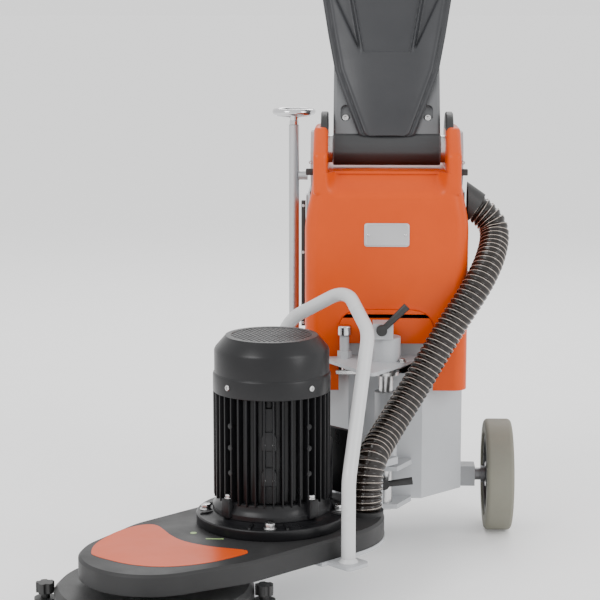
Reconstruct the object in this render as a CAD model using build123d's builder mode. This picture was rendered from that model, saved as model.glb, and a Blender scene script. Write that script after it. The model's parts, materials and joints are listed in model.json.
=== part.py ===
from build123d import *

import os
from math import atan2, cos, degrees, hypot, pi, radians, sin, tan

# Concrete grinder. Millimetres, +Z up, +X to the machine's right, -Y towards the grinding head.
# The parts are drawn about the wheel axle's centre plane and moved so that the origin of the
# written parts is the middle of the grinding disc on the floor.

# ---- driving dimensions ----
WHEEL_R = 100
WHEEL_W = 48
TRACK = 410  # between the wheels' middle planes
AXLE_R = 11
BODY_HALF = 134  # half width of the sheet-metal tub
BODY_FRONT = -162
BODY_BACK = 100
TUB_BOTTOM = 99
TUB_TOP = 620
SHEET = 4
PLATE_T = 6
PLATE_X = BODY_HALF - SHEET - PLATE_T  # inner face of a side plate
COVER_T = 4
COVER_BOTTOM = 290
SHELF_Z = 660
EAR_TOP = 733
EAR_INNER = 100
HINGE_Z = 692
HINGE_Y = -60
BARREL_R = 28
BARREL_HALF = 92
PIVOT = (0, -208)  # swing axis of the head
PLATE_Z = 344
QUADRANT_Z = 326
MOTOR = (-182, -398)
HEAD = (-350, -572)
DECK_TOP = 128
DECK_BOTTOM = 96
DECK_R = 142
DISC_R = 135
SHROUD_R = 150
WHEEL_POST_X = -162
HANDWHEEL_Z = 752
HANDWHEEL_R = 38
HOSE_R = 25
HOOP_R = 11

ARM = degrees(atan2(MOTOR[1] - HEAD[1], MOTOR[0] - HEAD[0]))  # heading of the head's length
HANDLE_LEAN = 27  # degrees back from upright
TO_ROW = Location((-HEAD[0], -HEAD[1], 0))

os.makedirs("parts", exist_ok=True)


def save(part, name):
    """Moves a finished piece to the written frame, labels it and writes its STEP file."""
    placed = part.moved(TO_ROW)
    placed.label = name
    export_step(placed, f"parts/{name}.step")


def at_head(along, across, z, centre=MOTOR):
    """A point given along the head's length (to the rear) and across it (to the right-hand side)."""
    c, s = cos(radians(ARM)), sin(radians(ARM))
    return (centre[0] + along * c + across * s, centre[1] + along * s - across * c, z)


def head_plane(along, across, z, centre=MOTOR):
    """A level plane whose x runs to the rear along the head and whose y runs to its left."""
    return Plane(
        origin=at_head(along, across, z, centre),
        x_dir=(cos(radians(ARM)), sin(radians(ARM)), 0),
        z_dir=(0, 0, 1),
    )


def facing_right(x, y, z):
    """A plane across the X axis: local x is +Y and local y is +Z."""
    return Plane(origin=(x, y, z), x_dir=(0, 1, 0), z_dir=(1, 0, 0))


def facing_front(x, y, z):
    """A plane across the Y axis, facing -Y: local x is +X and local y is +Z."""
    return Plane(origin=(x, y, z), x_dir=(1, 0, 0), z_dir=(0, -1, 0))


# ================= chassis =================


def tub_outline(grow):
    """Plan outline of the sheet-metal tub: flat nose, slanted shoulders, straight sides."""
    half, front, back = BODY_HALF + grow, BODY_FRONT - grow, BODY_BACK + grow
    return [
        (-half, back),
        (-half, front + 72),
        (-63, front),
        (63, front),
        (half, front + 72),
        (half, back),
    ]


# Folded sheet-metal tub, open at the top and at the bottom, with the axle slots in its sides.
with BuildPart() as chassis_tub:
    with BuildSketch(Plane.XY.offset(TUB_BOTTOM)):
        Polygon(*tub_outline(0), align=None)
        Polygon(*tub_outline(-SHEET), align=None, mode=Mode.SUBTRACT)
    extrude(amount=TUB_TOP - TUB_BOTTOM)
    with BuildSketch(facing_right(-BODY_HALF - 10, 0, TUB_BOTTOM)):
        with BuildLine():
            Polyline((-30, -5), (-30, 30), (30, 30), (30, -5), close=True)
        make_face()
    extrude(amount=2 * BODY_HALF + 20, mode=Mode.SUBTRACT)
    with BuildSketch(facing_right(-BODY_HALF - 10, 0, 0)):
        with BuildLine():
            Polyline(
                (BODY_FRONT - 20, TUB_BOTTOM - 5),
                (BODY_FRONT - 20, TUB_BOTTOM + 16),
                (-60, TUB_BOTTOM),
                (-60, TUB_BOTTOM - 5),
                close=True,
            )
        make_face()
    extrude(amount=30, mode=Mode.SUBTRACT)

    # Window for the index quadrant and the upper pivot plate.
    with BuildSketch(facing_front(0, BODY_FRONT - 5, QUADRANT_Z + 2)):
        Rectangle(212, 20)
    extrude(amount=-70, mode=Mode.SUBTRACT)
    # Floor over the axle, roof under the handle and a channel on the left side.
    with BuildSketch(Plane.XY.offset(144)):
        Polygon(*tub_outline(-SHEET), align=None)
    extrude(amount=SHEET)
    with BuildSketch(Plane.XY.offset(TUB_TOP - SHEET)):
        Polygon(*tub_outline(-SHEET), align=None)
    extrude(amount=SHEET)
    for sign in (-1, 1):
        with BuildSketch(facing_right(sign * (PLATE_X + PLATE_T / 2) - 4, 0, 0)):
            with Locations((-22, TUB_TOP)):
                Rectangle(166, 20)
        extrude(amount=8, mode=Mode.SUBTRACT)
    with BuildSketch(Plane.XY.offset(350)):
        with Locations((-BODY_HALF - 4, 62)):
            Rectangle(8, 30)
    extrude(amount=250)

# Two side plates that carry the handle hinge. They stand inside the tub's sides.
side_plates = {}
for side, sign in (("left", -1), ("right", 1)):
    with BuildPart() as side_plate:
        inner_x = sign * PLATE_X if sign > 0 else -PLATE_X - PLATE_T
        with BuildSketch(facing_right(inner_x, 0, 0)):
            with BuildLine():
                Polyline(
                    (-84, 560),
                    (-84, 630),
                    (-104, 650),
                    (-104, 690),
                    (-84, 722),
                    (-36, 722),
                    (-4, 690),
                    (34, 624),
                    (34, 560),
                    close=True,
                )
            make_face()
            with Locations((HINGE_Y, HINGE_Z)):
                Circle(12.05, mode=Mode.SUBTRACT)
        extrude(amount=PLATE_T)
    side_plates[side] = side_plate.part

# Hinge pin through both side plates and the handle's barrel, with a friction collar at each side.
COLLAR_LENGTH = PLATE_X - BARREL_HALF - 0.6
with BuildPart() as hinge_pin:
    with BuildSketch(facing_right(-PLATE_X - PLATE_T, HINGE_Y, HINGE_Z)):
        Circle(12)
    extrude(amount=2 * (PLATE_X + PLATE_T))
    for start in (-PLATE_X, PLATE_X - COLLAR_LENGTH):
        with BuildSketch(facing_right(start, HINGE_Y, HINGE_Z)):
            Circle(24)
        extrude(amount=COLLAR_LENGTH)

# ---- front cover ----
COVER_HALF = 138
COVER_FRONT = -170
COVER_BACK = 40
SCOOP_LOW = 630
SCOOP_BACK = -136
CUT_HALF = 80
CUT_TOP = 374


def cover_body(inset):
    """Solid shape of the cover; inset shrinks it all round to give the hollow."""
    half, front = COVER_HALF - inset, COVER_FRONT + inset
    back = COVER_BACK + inset * 5
    shelf, ear_in = SHELF_Z - inset, EAR_INNER + inset
    with BuildPart() as body:
        with BuildSketch(Plane.XY.offset(COVER_BOTTOM - inset)):
            with Locations((0, (front + back) / 2)):
                Rectangle(2 * half, back - front)
        extrude(amount=EAR_TOP - COVER_BOTTOM)
        fillet(
            body.edges().filter_by(Axis.Z).group_by(Axis.Y)[0],
            radius=26 - inset,
        )
        # The tops of the two ears slope away to the front and to the back.
        with BuildSketch(facing_right(-half - 1, 0, 0)):
            with BuildLine():
                Polyline(
                    (front - 1, 676),
                    (-104, EAR_TOP - inset + 1),
                    (front - 1, EAR_TOP + 20),
                    close=True,
                )
            make_face()
            with BuildLine():
                Polyline(
                    (back + 1, 640),
                    (-16, EAR_TOP - inset + 1),
                    (back + 1, EAR_TOP + 20),
                    close=True,
                )
            make_face()
        extrude(amount=2 * half + 2, mode=Mode.SUBTRACT)
        # The scoop in front of the handle and the shelf under it.
        with BuildSketch(facing_right(-ear_in, 0, 0)):
            with BuildLine():
                Polyline(
                    (front - 1, SCOOP_LOW - inset),
                    (SCOOP_BACK, shelf),
                    (back + 1, shelf),
                    (back + 1, EAR_TOP + 20),
                    (front - 1, EAR_TOP + 20),
                    close=True,
                )
            make_face()
        extrude(amount=2 * ear_in, mode=Mode.SUBTRACT)
    return body.part


cover_shell = cover_body(0)
cover_hollow = cover_body(COVER_T)
with BuildPart() as front_cover:
    add(cover_shell)
    # Raised arch above the cut-out.
    with BuildSketch(facing_front(0, COVER_FRONT, 0)):
        with BuildLine():
            Polyline((-80, 377), (-80, 414), (-62, 428), (62, 428), (80, 414), (80, 377), close=True)
        make_face()
    extrude(amount=6, taper=25)
    add(cover_hollow, mode=Mode.SUBTRACT)
    with BuildSketch(facing_front(0, COVER_FRONT - 5, 0)):
        with BuildLine():
            Polyline(
                (-CUT_HALF, COVER_BOTTOM - 10),
                (-CUT_HALF, CUT_TOP - 24),
                (-CUT_HALF + 24, CUT_TOP),
                (CUT_HALF - 24, CUT_TOP),
                (CUT_HALF, CUT_TOP - 24),
                (CUT_HALF, COVER_BOTTOM - 10),
                close=True,
            )
        make_face()
    extrude(amount=-20, mode=Mode.SUBTRACT)
    # Room for the hinge in the inner walls of the ears, and the dust port.
    with BuildSketch(facing_right(-EAR_INNER - 10, HINGE_Y, HINGE_Z)):
        Circle(24.5)
    extrude(amount=2 * EAR_INNER + 20, mode=Mode.SUBTRACT)
    with BuildSketch(facing_right(COVER_HALF - 10, -91, 600)):
        Circle(HOSE_R - 4)
    extrude(amount=20, mode=Mode.SUBTRACT)


# Plain blank rating plate on the cover, held by two rivets.
PLATE_RIVET_X = 31
with BuildPart() as badge:
    with BuildSketch(facing_front(0, COVER_FRONT, 556)):
        RectangleRounded(76, 40, 6)
    extrude(amount=1.6)
    with BuildSketch(facing_front(0, COVER_FRONT - 1.6, 556)):
        with Locations((-PLATE_RIVET_X, 0), (PLATE_RIVET_X, 0)):
            Circle(2.5)
    extrude(amount=0.9)

# ================= handle =================


def handle_plane(across, along, out):
    """A plane square to the handle's length: x across, y to the operator's side, at a height along it."""
    lean = radians(HANDLE_LEAN)
    up = (0, sin(lean), cos(lean))
    front = (0, -cos(lean), sin(lean))
    origin = (
        across,
        HINGE_Y + up[1] * along + front[1] * out,
        HINGE_Z + up[2] * along + front[2] * out,
    )
    return Plane(origin=origin, x_dir=(1, 0, 0), z_dir=up)


def handle_face(across, along, out, toward_front=True):
    """A plane parallel to the handle's face. Local y runs up the handle when it faces the front."""
    lean = radians(HANDLE_LEAN)
    front = (0, -cos(lean), sin(lean))
    plane = handle_plane(across, along, out)
    normal = front if toward_front else (0, cos(lean), -sin(lean))
    return Plane(origin=plane.origin, x_dir=(1, 0, 0) if toward_front else (-1, 0, 0), z_dir=normal)


with BuildPart() as handle_hinge:
    with BuildSketch(facing_right(-BARREL_HALF, HINGE_Y, HINGE_Z)):
        Circle(BARREL_R)
    extrude(amount=2 * BARREL_HALF)
    with BuildSketch(handle_plane(0, 0, 4)):
        RectangleRounded(2 * BARREL_HALF, 34, 6)
    extrude(amount=165)
    with BuildSketch(handle_face(0, 58, 21.5)):
        with Locations((-71, 0), (71, 0)):
            SlotOverall(30, 17, rotation=90)
    extrude(amount=-7, mode=Mode.SUBTRACT)
    with BuildSketch(facing_right(-BARREL_HALF - 1, HINGE_Y, HINGE_Z)):
        Circle(12.05)
    extrude(amount=2 * BARREL_HALF + 2, mode=Mode.SUBTRACT)

# Dished fairing in front of the handle's spine; it widens towards the console.
# Each station: height along the handle, half width, depth in front of the spine.
SHIELD_STATIONS = ((24, 44, 8), (150, 86, 24), (290, 113, 34), (400, 122, 30))


def shield_body(inset):
    with BuildPart() as body:
        for along, half, depth in SHIELD_STATIONS:
            with BuildSketch(handle_plane(0, along, 21.4)):
                with BuildLine():
                    Polyline(
                        (-half + inset, 0.4 if inset == 0 else 2),
                        (-half + inset, -depth * 0.45),
                        (-half * 0.62, -depth + inset),
                        (half * 0.62, -depth + inset),
                        (half - inset, -depth * 0.45),
                        (half - inset, 0.4 if inset == 0 else 2),
                        close=True,
                    )
                make_face()
        loft(ruled=True)
    return body.part


shield_outer = shield_body(0)
shield_hollow = shield_body(4)
with BuildPart() as handle_shield:
    add(shield_outer)
    add(shield_hollow, mode=Mode.SUBTRACT)

# Box-section spine from the hinge to the console.
CONSOLE_LOW = 400
CONSOLE_TOP = 472
with BuildPart() as handle_spine:
    with BuildSketch(handle_plane(0, 169, 4)):
        RectangleRounded(90, 30, 5)
    extrude(amount=CONSOLE_LOW - 169)

with BuildPart() as console:
    with BuildSketch(handle_plane(0, CONSOLE_LOW, 2)):
        RectangleRounded(250, 84, 20)
    extrude(amount=CONSOLE_TOP - CONSOLE_LOW)
    fillet(console.faces().sort_by(Axis.Z)[-1].edges(), radius=8)

# Control face: x across, y to the operator's side.
BUTTONS = {"start_button": (-30, 8), "stop_button": (0, 8)}
STOP_AT = (-80, 2)
KNOB_AT = (72, 2)
BUTTON_R = 11
BUTTON_STROKE = 3


def control_plane(x, y, raise_by=0.0):
    return handle_plane(x, CONSOLE_TOP + raise_by, 2 - y)


with BuildPart() as control_bezels:
    for x, y in BUTTONS.values():
        with BuildSketch(control_plane(x, y)):
            Circle(BUTTON_R + 3)
            Circle(BUTTON_R + 0.4, mode=Mode.SUBTRACT)
        extrude(amount=4)
    with BuildSketch(control_plane(*STOP_AT)):
        Circle(23)
    extrude(amount=3)
    with BuildSketch(control_plane(*KNOB_AT)):
        Circle(24)
    extrude(amount=1.5)

buttons = {}
for name, (x, y) in BUTTONS.items():
    with BuildPart() as button:
        with BuildSketch(control_plane(x, y, BUTTON_STROKE + 0.4)):
            Circle(BUTTON_R)
        extrude(amount=5)
        fillet(button.faces().sort_by(Axis.Z)[-1].edges(), radius=1.2)
    buttons[name] = button.part

with BuildPart() as emergency_stop:
    with BuildSketch(control_plane(*STOP_AT, 3 + 5.4)):
        Circle(10)
    extrude(amount=8)
    with BuildSketch(control_plane(*STOP_AT, 3 + 13.4)):
        Circle(20)
    extrude(amount=10)
    fillet(emergency_stop.faces().sort_by(Axis.Z)[-1].edges(), radius=5)

with BuildPart() as speed_knob:
    with BuildSketch(control_plane(*KNOB_AT, 1.8)):
        Circle(17)
        with PolarLocations(17.6, 12):
            Circle(2.2, mode=Mode.SUBTRACT)
    extrude(amount=15)
    with BuildSketch(control_plane(*KNOB_AT, 16.8)):
        with Locations((0, 10)):
            Rectangle(2.4, 10)
    extrude(amount=1.2)

# Handlebar: a tube on each side of the console that turns towards the operator.
BAR_R = 12.5
BAR_OUT = 205
BAR_BACK = 150
BAR_ALONG = 436
GRIP_LENGTH = 104
with BuildPart() as handlebar:
    for sign in (-1, 1):
        bar_plane = handle_plane(0, BAR_ALONG, 2)
        with BuildLine(bar_plane) as bar_path:
            FilletPolyline(
                (sign * 125, 0), (sign * BAR_OUT, 0), (sign * BAR_OUT, BAR_BACK), radius=45
            )
        start = Plane(origin=bar_path.line @ 0, z_dir=bar_path.line % 0)
        with BuildSketch(start):
            Circle(BAR_R)
        sweep(path=bar_path.line)

grips = {}
for side, sign in (("left", -1), ("right", 1)):
    mouth = handle_plane(sign * BAR_OUT, BAR_ALONG, 2 - (BAR_BACK - GRIP_LENGTH))
    outward = Plane(origin=mouth.origin, x_dir=(1, 0, 0), z_dir=mouth.y_dir)
    with BuildPart() as grip:
        with BuildSketch(outward):
            Circle(17)
        extrude(amount=GRIP_LENGTH + 4)
        with BuildSketch(outward):
            Circle(BAR_R)
        extrude(amount=GRIP_LENGTH, mode=Mode.SUBTRACT)
        fillet(grip.edges().filter_by(GeomType.CIRCLE).sort_by(Axis.Y)[-1], radius=3)
    grips[side] = grip.part

# ================= height setting, axle and wheels =================
POST_R = 9
SCREW_R = 5
POST_LOW, POST_HIGH = 300, 729
CROSS_Z = 640
with BuildPart() as screw_post:
    with BuildSketch(Plane(origin=(WHEEL_POST_X, 0, POST_LOW), z_dir=(0, 0, 1))):
        Circle(POST_R)
        Circle(SCREW_R + 0.05, mode=Mode.SUBTRACT)
    extrude(amount=POST_HIGH - POST_LOW)
    for z in (CROSS_Z, POST_LOW + 30):
        with BuildSketch(facing_right(-COVER_HALF if z > COVER_BOTTOM else -BODY_HALF, 0, z)):
            Circle(8)
        extrude(amount=-16)


with BuildPart() as handwheel:
    hub = Plane(origin=(WHEEL_POST_X, 0, 0), z_dir=(0, 0, 1))
    with BuildSketch(hub.offset(POST_HIGH + 0.5)):
        Circle(8)
    extrude(amount=7)
    with BuildSketch(hub.offset(POST_HIGH + 7.5)):
        Circle(7)
    with BuildSketch(hub.offset(HANDWHEEL_Z + 2)):
        Circle(11)
    loft()
    with BuildSketch(facing_front(WHEEL_POST_X, 0, HANDWHEEL_Z)):
        with Locations((HANDWHEEL_R - 6, 0)):
            Circle(6)
    revolve(axis=Axis((WHEEL_POST_X, 0, 0), (0, 0, 1)))
    for turn in (90, 210, 330):
        spoke_dir = (cos(radians(turn)), sin(radians(turn)), 0.12)
        with BuildSketch(Plane(origin=(WHEEL_POST_X, 0, HANDWHEEL_Z - 5), z_dir=spoke_dir)):
            Ellipse(4, 6)
        extrude(amount=HANDWHEEL_R - 6)
    with BuildSketch(hub.offset(150)):
        Circle(SCREW_R)
    extrude(amount=POST_HIGH - 149)

# Carriage that the screw lifts: a nut block outside the tub and a cross beam over the axle.
AXLE_Z = WHEEL_R
with BuildPart() as axle_carriage:
    with BuildSketch(Plane.XY.offset(AXLE_Z - 18)):
        Rectangle(2 * BODY_HALF + 60, 36)
    extrude(amount=36)
    with BuildSketch(Plane(origin=(WHEEL_POST_X, 0, AXLE_Z + 18), z_dir=(0, 0, 1))):
        Circle(13)
    extrude(amount=50)
    with BuildSketch(Plane(origin=(WHEEL_POST_X, 0, AXLE_Z - 18), z_dir=(0, 0, 1))):
        Circle(SCREW_R + 0.05)
    extrude(amount=200, mode=Mode.SUBTRACT)
    with BuildSketch(facing_right(-200, 0, AXLE_Z)):
        Circle(AXLE_R)
    extrude(amount=400, mode=Mode.SUBTRACT)

HUB_HALF = 21
WHEEL_X = TRACK / 2
axle_end = WHEEL_X + HUB_HALF + 1
with BuildPart() as axle:
    with BuildSketch(facing_right(-axle_end, 0, AXLE_Z)):
        Circle(AXLE_R)
    extrude(amount=2 * axle_end)
    for sign in (-1, 1):
        with BuildSketch(facing_right(sign * (WHEEL_X - HUB_HALF - 5) - 4, 0, AXLE_Z)):
            Circle(AXLE_R + 4)
        extrude(amount=8)
    with BuildSketch(facing_right(-axle_end - 1, 0, AXLE_Z)):
        Circle(4)
    extrude(amount=2 * axle_end + 2, mode=Mode.SUBTRACT)

wheel_parts = {}
for side, sign in (("left", -1), ("right", 1)):
    with BuildPart() as rim:
        with BuildSketch(facing_right(sign * WHEEL_X - HUB_HALF, 0, AXLE_Z)):
            Circle(22)
        extrude(amount=2 * HUB_HALF)
        with BuildSketch(facing_right(sign * WHEEL_X - 5, 0, AXLE_Z)):
            Circle(70)
        extrude(amount=10)
        with BuildSketch(facing_right(sign * WHEEL_X - 20, 0, AXLE_Z)):
            Circle(76)
            Circle(68, mode=Mode.SUBTRACT)
        extrude(amount=40)
        with BuildSketch(facing_right(sign * WHEEL_X - HUB_HALF - 1, 0, AXLE_Z)):
            Circle(AXLE_R + 0.05)
        extrude(amount=2 * HUB_HALF + 2, mode=Mode.SUBTRACT)
    with BuildPart() as tyre:
        with BuildSketch(facing_right(sign * WHEEL_X - WHEEL_W / 2, 0, AXLE_Z)):
            Circle(WHEEL_R)
            Circle(76, mode=Mode.SUBTRACT)
        extrude(amount=WHEEL_W)
        outer = tyre.edges().filter_by(GeomType.CIRCLE).sort_by(SortBy.RADIUS)[-2:]
        fillet(outer, radius=7)
    wheel_parts[side] = (rim.part, tyre.part)

# Washer and bolt on each end of the axle.
with BuildPart() as axle_bolts:
    for sign in (-1, 1):
        face_x = sign * axle_end
        with BuildSketch(facing_right(face_x if sign > 0 else face_x - 3, 0, AXLE_Z)):
            Circle(15)
        extrude(amount=3)
        with BuildSketch(facing_right(face_x + 3 if sign > 0 else face_x - 9, 0, AXLE_Z)):
            RegularPolygon(8, 6)
        extrude(amount=6)


# ================= swing pivot on the chassis =================
COLUMN_R = 12
BEARING_R = COLUMN_R + 0.05
PLUNGER = (-70, -190)
BRACKET_LOW, BRACKET_HIGH = 98, 171

plunger_foot = Plane(origin=(*PLUNGER, PLATE_Z + 6), z_dir=(0, 0, 1))
with BuildPart() as pivot_plate:
    with BuildSketch(Plane.XY.offset(PLATE_Z)):
        with BuildLine():
            Polyline(
                (-76, BODY_FRONT),
                (-76, -176),
                (-104, -180),
                (-102, -198),
                (-46, -290),
                (-25, -322),
                (4, -274),
                (40, -213),
                (62, BODY_FRONT),
                close=True,
            )
        make_face()
    extrude(amount=6)
    fillet(pivot_plate.edges().filter_by(Axis.Z).group_by(Axis.Y)[0], radius=10)
    with BuildSketch(Plane(origin=(*PIVOT, PLATE_Z + 6), z_dir=(0, 0, 1))):
        Circle(24)
    extrude(amount=40)
    # Clamp block under the upper lever.
    with BuildSketch(Plane.XY.offset(PLATE_Z + 46)):
        with Locations((-6, -215)):
            Rectangle(34, 41)
    extrude(amount=26)
    with BuildSketch(Plane(origin=(*PIVOT, PLATE_Z), z_dir=(0, 0, 1))):
        Circle(BEARING_R)
    extrude(amount=60, mode=Mode.SUBTRACT)
    # Hexagonal socket of the index plunger.
    with BuildSketch(plunger_foot):
        RegularPolygon(12, 6)
    extrude(amount=12)
    with BuildSketch(plunger_foot.offset(12)):
        Circle(8)
    extrude(amount=26)
    with BuildSketch(plunger_foot.offset(-8)):
        Circle(5.05)
    extrude(amount=60, mode=Mode.SUBTRACT)

with BuildPart() as index_plunger:
    with BuildSketch(Plane(origin=(*PLUNGER, QUADRANT_Z - 3), z_dir=(0, 0, 1))):
        Circle(5)
    extrude(amount=PLATE_Z + 50 - QUADRANT_Z)
    with BuildSketch(plunger_foot.offset(40)):
        Circle(12)
    extrude(amount=16)
    fillet(index_plunger.edges().filter_by(GeomType.CIRCLE).sort_by(Axis.Z)[-1], radius=4)

# Lower bearing bracket on the tub's nose.
with BuildPart() as lower_bracket:
    for z in (BRACKET_LOW, BRACKET_HIGH - 8):
        with BuildSketch(Plane.XY.offset(z)):
            with BuildLine():
                Polyline(
                    (-45, BODY_FRONT),
                    (-45, -176),
                    (-20, -226),
                    (20, -226),
                    (45, -176),
                    (45, BODY_FRONT),
                    close=True,
                )
            make_face()
        extrude(amount=8)
    with BuildSketch(Plane.XY.offset(BRACKET_LOW)):
        with Locations((0, BODY_FRONT - 4)):
            Rectangle(90, 8)
    extrude(amount=BRACKET_HIGH - BRACKET_LOW)
    with BuildSketch(Plane(origin=(*PIVOT, BRACKET_LOW - 1), z_dir=(0, 0, 1))):
        Circle(BEARING_R)
    extrude(amount=100, mode=Mode.SUBTRACT)


def clamp_lever(hub, tilt, reach):
    """A clamping lever: a hub along Y with an arm that leaves it at an angle above +X."""
    turned = Plane(origin=hub, x_dir=(cos(radians(tilt)), 0, sin(radians(tilt))), z_dir=(0, -1, 0))
    with BuildPart() as lever:
        with BuildSketch(turned):
            Circle(9)
        extrude(amount=9)
        arm_start = Plane(
            origin=(hub[0], hub[1] - 5, hub[2]), x_dir=(0, 1, 0), z_dir=turned.x_dir
        )
        with BuildSketch(arm_start):
            Ellipse(4, 5)
        with BuildSketch(arm_start.offset(reach)):
            Ellipse(4.5, 6.5)
        loft()
    return lever.part


UPPER_HUB = (-8, -236, 406)
LOWER_HUB = (-2, -226.4, 142)
upper_lever = clamp_lever(UPPER_HUB, 45, 58)
lower_lever = clamp_lever(LOWER_HUB, 8, 48)

# Elbow that the hose is pushed on, on the right side of the cover.
HOSE_TOP = (153, -91, 594)
ELBOW_TILT = 35
elbow_end = Plane(
    origin=HOSE_TOP,
    x_dir=(0, 1, 0),
    z_dir=(cos(radians(ELBOW_TILT)), 0, -sin(radians(ELBOW_TILT))),
)
with BuildPart() as hose_elbow:
    with BuildSketch(elbow_end):
        Circle(HOSE_R + 3)
    extrude(amount=-40)
    split(bisect_by=Plane(origin=(COVER_HALF, 0, 0), z_dir=(1, 0, 0)))
    with BuildSketch(elbow_end):
        Circle(HOSE_R - 4)
    extrude(amount=-60, mode=Mode.SUBTRACT)

# Power inlet and dust outlet at the back.
with BuildPart() as power_inlet:
    with BuildSketch(Plane(origin=(60, BODY_BACK, 520), x_dir=(-1, 0, 0), z_dir=(0, 1, 0))):
        RectangleRounded(64, 64, 6)
    extrude(amount=10)
    with BuildSketch(Plane(origin=(60, BODY_BACK + 10, 520), x_dir=(-1, 0, 0), z_dir=(0, 1, 0))):
        Circle(24)
        Circle(19.5, mode=Mode.SUBTRACT)
    extrude(amount=32)
    with BuildSketch(Plane(origin=(60, BODY_BACK + 10, 520), x_dir=(-1, 0, 0), z_dir=(0, 1, 0))):
        with PolarLocations(12, 4):
            Circle(2.5)
    extrude(amount=24)
DUST_R = 25
with BuildPart() as dust_spigot:
    with BuildSketch(Plane(origin=(-50, BODY_BACK, 500), x_dir=(-1, 0, 0), z_dir=(0, 1, 0))):
        Circle(34)
        Circle(DUST_R - 3, mode=Mode.SUBTRACT)
    extrude(amount=6)
    with BuildSketch(Plane(origin=(-50, BODY_BACK, 500), x_dir=(-1, 0, 0), z_dir=(0, 1, 0))):
        Circle(DUST_R)
        Circle(DUST_R - 3, mode=Mode.SUBTRACT)
    extrude(amount=50)


# ================= grinding head =================
SHAFT_R = 12
SPINDLE_R = 15
PULLEY_LOW, PULLEY_HIGH = 104, 118
MOTOR_PULLEY_R, DISC_PULLEY_R = 40, 60
REAR_CENTRE = 53  # the deck's rear round end, behind the motor
HEAD_REACH = hypot(MOTOR[0] - HEAD[0], MOTOR[1] - HEAD[1])  # from the motor to the grinding disc
FRONT_R = 113  # the deck's front round end, over the disc
PLATE_LOW = DECK_BOTTOM - 6
PIVOT_ALONG = 263
PORT = (-32, -361)
ARM_IN = 195  # rear end of the deck


def deck_outline(z, inset):
    """The deck seen from above: round at both ends and widest beside the motor."""
    with BuildSketch(head_plane(0, 0, z)) as outline:
        with Locations((-HEAD_REACH, 0)):
            Circle(FRONT_R - inset)
        with Locations((-150, 0)):
            Circle(DECK_R - 4 - inset)
        with Locations((REAR_CENTRE, 0)):
            Circle(DECK_R - inset)
        make_hull()
    return outline.sketch


with BuildPart() as belt_cover:
    extrude(deck_outline(DECK_BOTTOM, 0), amount=DECK_TOP - DECK_BOTTOM)
    chamfer(belt_cover.faces().sort_by(Axis.Z)[-1].edges(), length=4)
    extrude(deck_outline(DECK_BOTTOM, 4), amount=DECK_TOP - DECK_BOTTOM - 5, mode=Mode.SUBTRACT)
    with BuildSketch(head_plane(0, 0, DECK_BOTTOM)):
        Circle(50)
    extrude(amount=40, mode=Mode.SUBTRACT)
    # Collar of the dust port.
    with BuildSketch(Plane(origin=(*PORT, DECK_TOP - 4), z_dir=(0, 0, 1))):
        Circle(HOSE_R + 2.5)
    extrude(amount=12)
    with BuildSketch(Plane(origin=(*PORT, DECK_BOTTOM), z_dir=(0, 0, 1))):
        Circle(HOSE_R - 4)
    extrude(amount=60, mode=Mode.SUBTRACT)

# Floor inside the belt cover, with a wider plate under its rear end and a foot for each hoop leg.
HOOP_FEET = ((5, 165), (62, -165))
with BuildPart() as frame_plate:
    extrude(deck_outline(DECK_BOTTOM, 4.2), amount=5)
    with BuildSketch(head_plane(0, 0, PLATE_LOW)):
        with Locations((REAR_CENTRE, 0)):
            Circle(DECK_R + 1.5)
        with Locations(((REAR_CENTRE - 30) / 2, 0)):
            Rectangle(REAR_CENTRE + 30, 2 * DECK_R + 3)
        for along, across in HOOP_FEET:
            with Locations((along, -across * 0.91)):
                RectangleRounded(46, 80, 10)
    extrude(amount=6)
    # Hole for the spindle housing.
    with BuildSketch(head_plane(-HEAD_REACH, 0, PLATE_LOW)):
        Circle(30)
    extrude(amount=20, mode=Mode.SUBTRACT)
    # Tongue under the rear end of the deck and the upright flange behind it.
    with BuildSketch(head_plane(ARM_IN - 20, 0, PLATE_LOW)):
        Rectangle(52, 104)
    extrude(amount=6)
    with BuildSketch(head_plane(ARM_IN + 3, 0, PLATE_LOW)):
        Rectangle(6, 104)
    extrude(amount=99)

with BuildPart() as swing_arm:
    with BuildSketch(head_plane((ARM_IN + 6 + PIVOT_ALONG) / 2, 0, 177)):
        Rectangle(PIVOT_ALONG - ARM_IN - 6, 56)
    extrude(amount=12)
    with BuildSketch(head_plane((ARM_IN + 6 + PIVOT_ALONG) / 2, 0, 210)):
        Rectangle(PIVOT_ALONG - ARM_IN - 6, 56)
    extrude(amount=10)
    with BuildSketch(head_plane(ARM_IN + 3, 0, 189.2)):
        Rectangle(6, 56)
    extrude(amount=30.8)
    with BuildSketch(head_plane(ARM_IN + 14, 0, 189)):
        Rectangle(16, 10)
    extrude(amount=21)
    with BuildSketch(Plane(origin=(*PIVOT, 177), z_dir=(0, 0, 1))):
        Circle(19)
    extrude(amount=120)
    with BuildSketch(Plane(origin=(*PIVOT, 177), z_dir=(0, 0, 1))):
        Circle(COLUMN_R)
    extrude(amount=140, mode=Mode.SUBTRACT)

# Column the head swings on, with a quadrant whose rim passes the index plunger's pin.
PIN_TRACK = hypot(PLUNGER[0] - PIVOT[0], PLUNGER[1] - PIVOT[1])
QUADRANT_R = PIN_TRACK - 5.4
RIM_FROM, RIM_TO = 60, 183
with BuildPart() as pivot_column:
    with BuildSketch(Plane(origin=(*PIVOT, BRACKET_LOW - 4), z_dir=(0, 0, 1))):
        Circle(COLUMN_R)
    extrude(amount=PLATE_Z + 44 - BRACKET_LOW)

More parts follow.
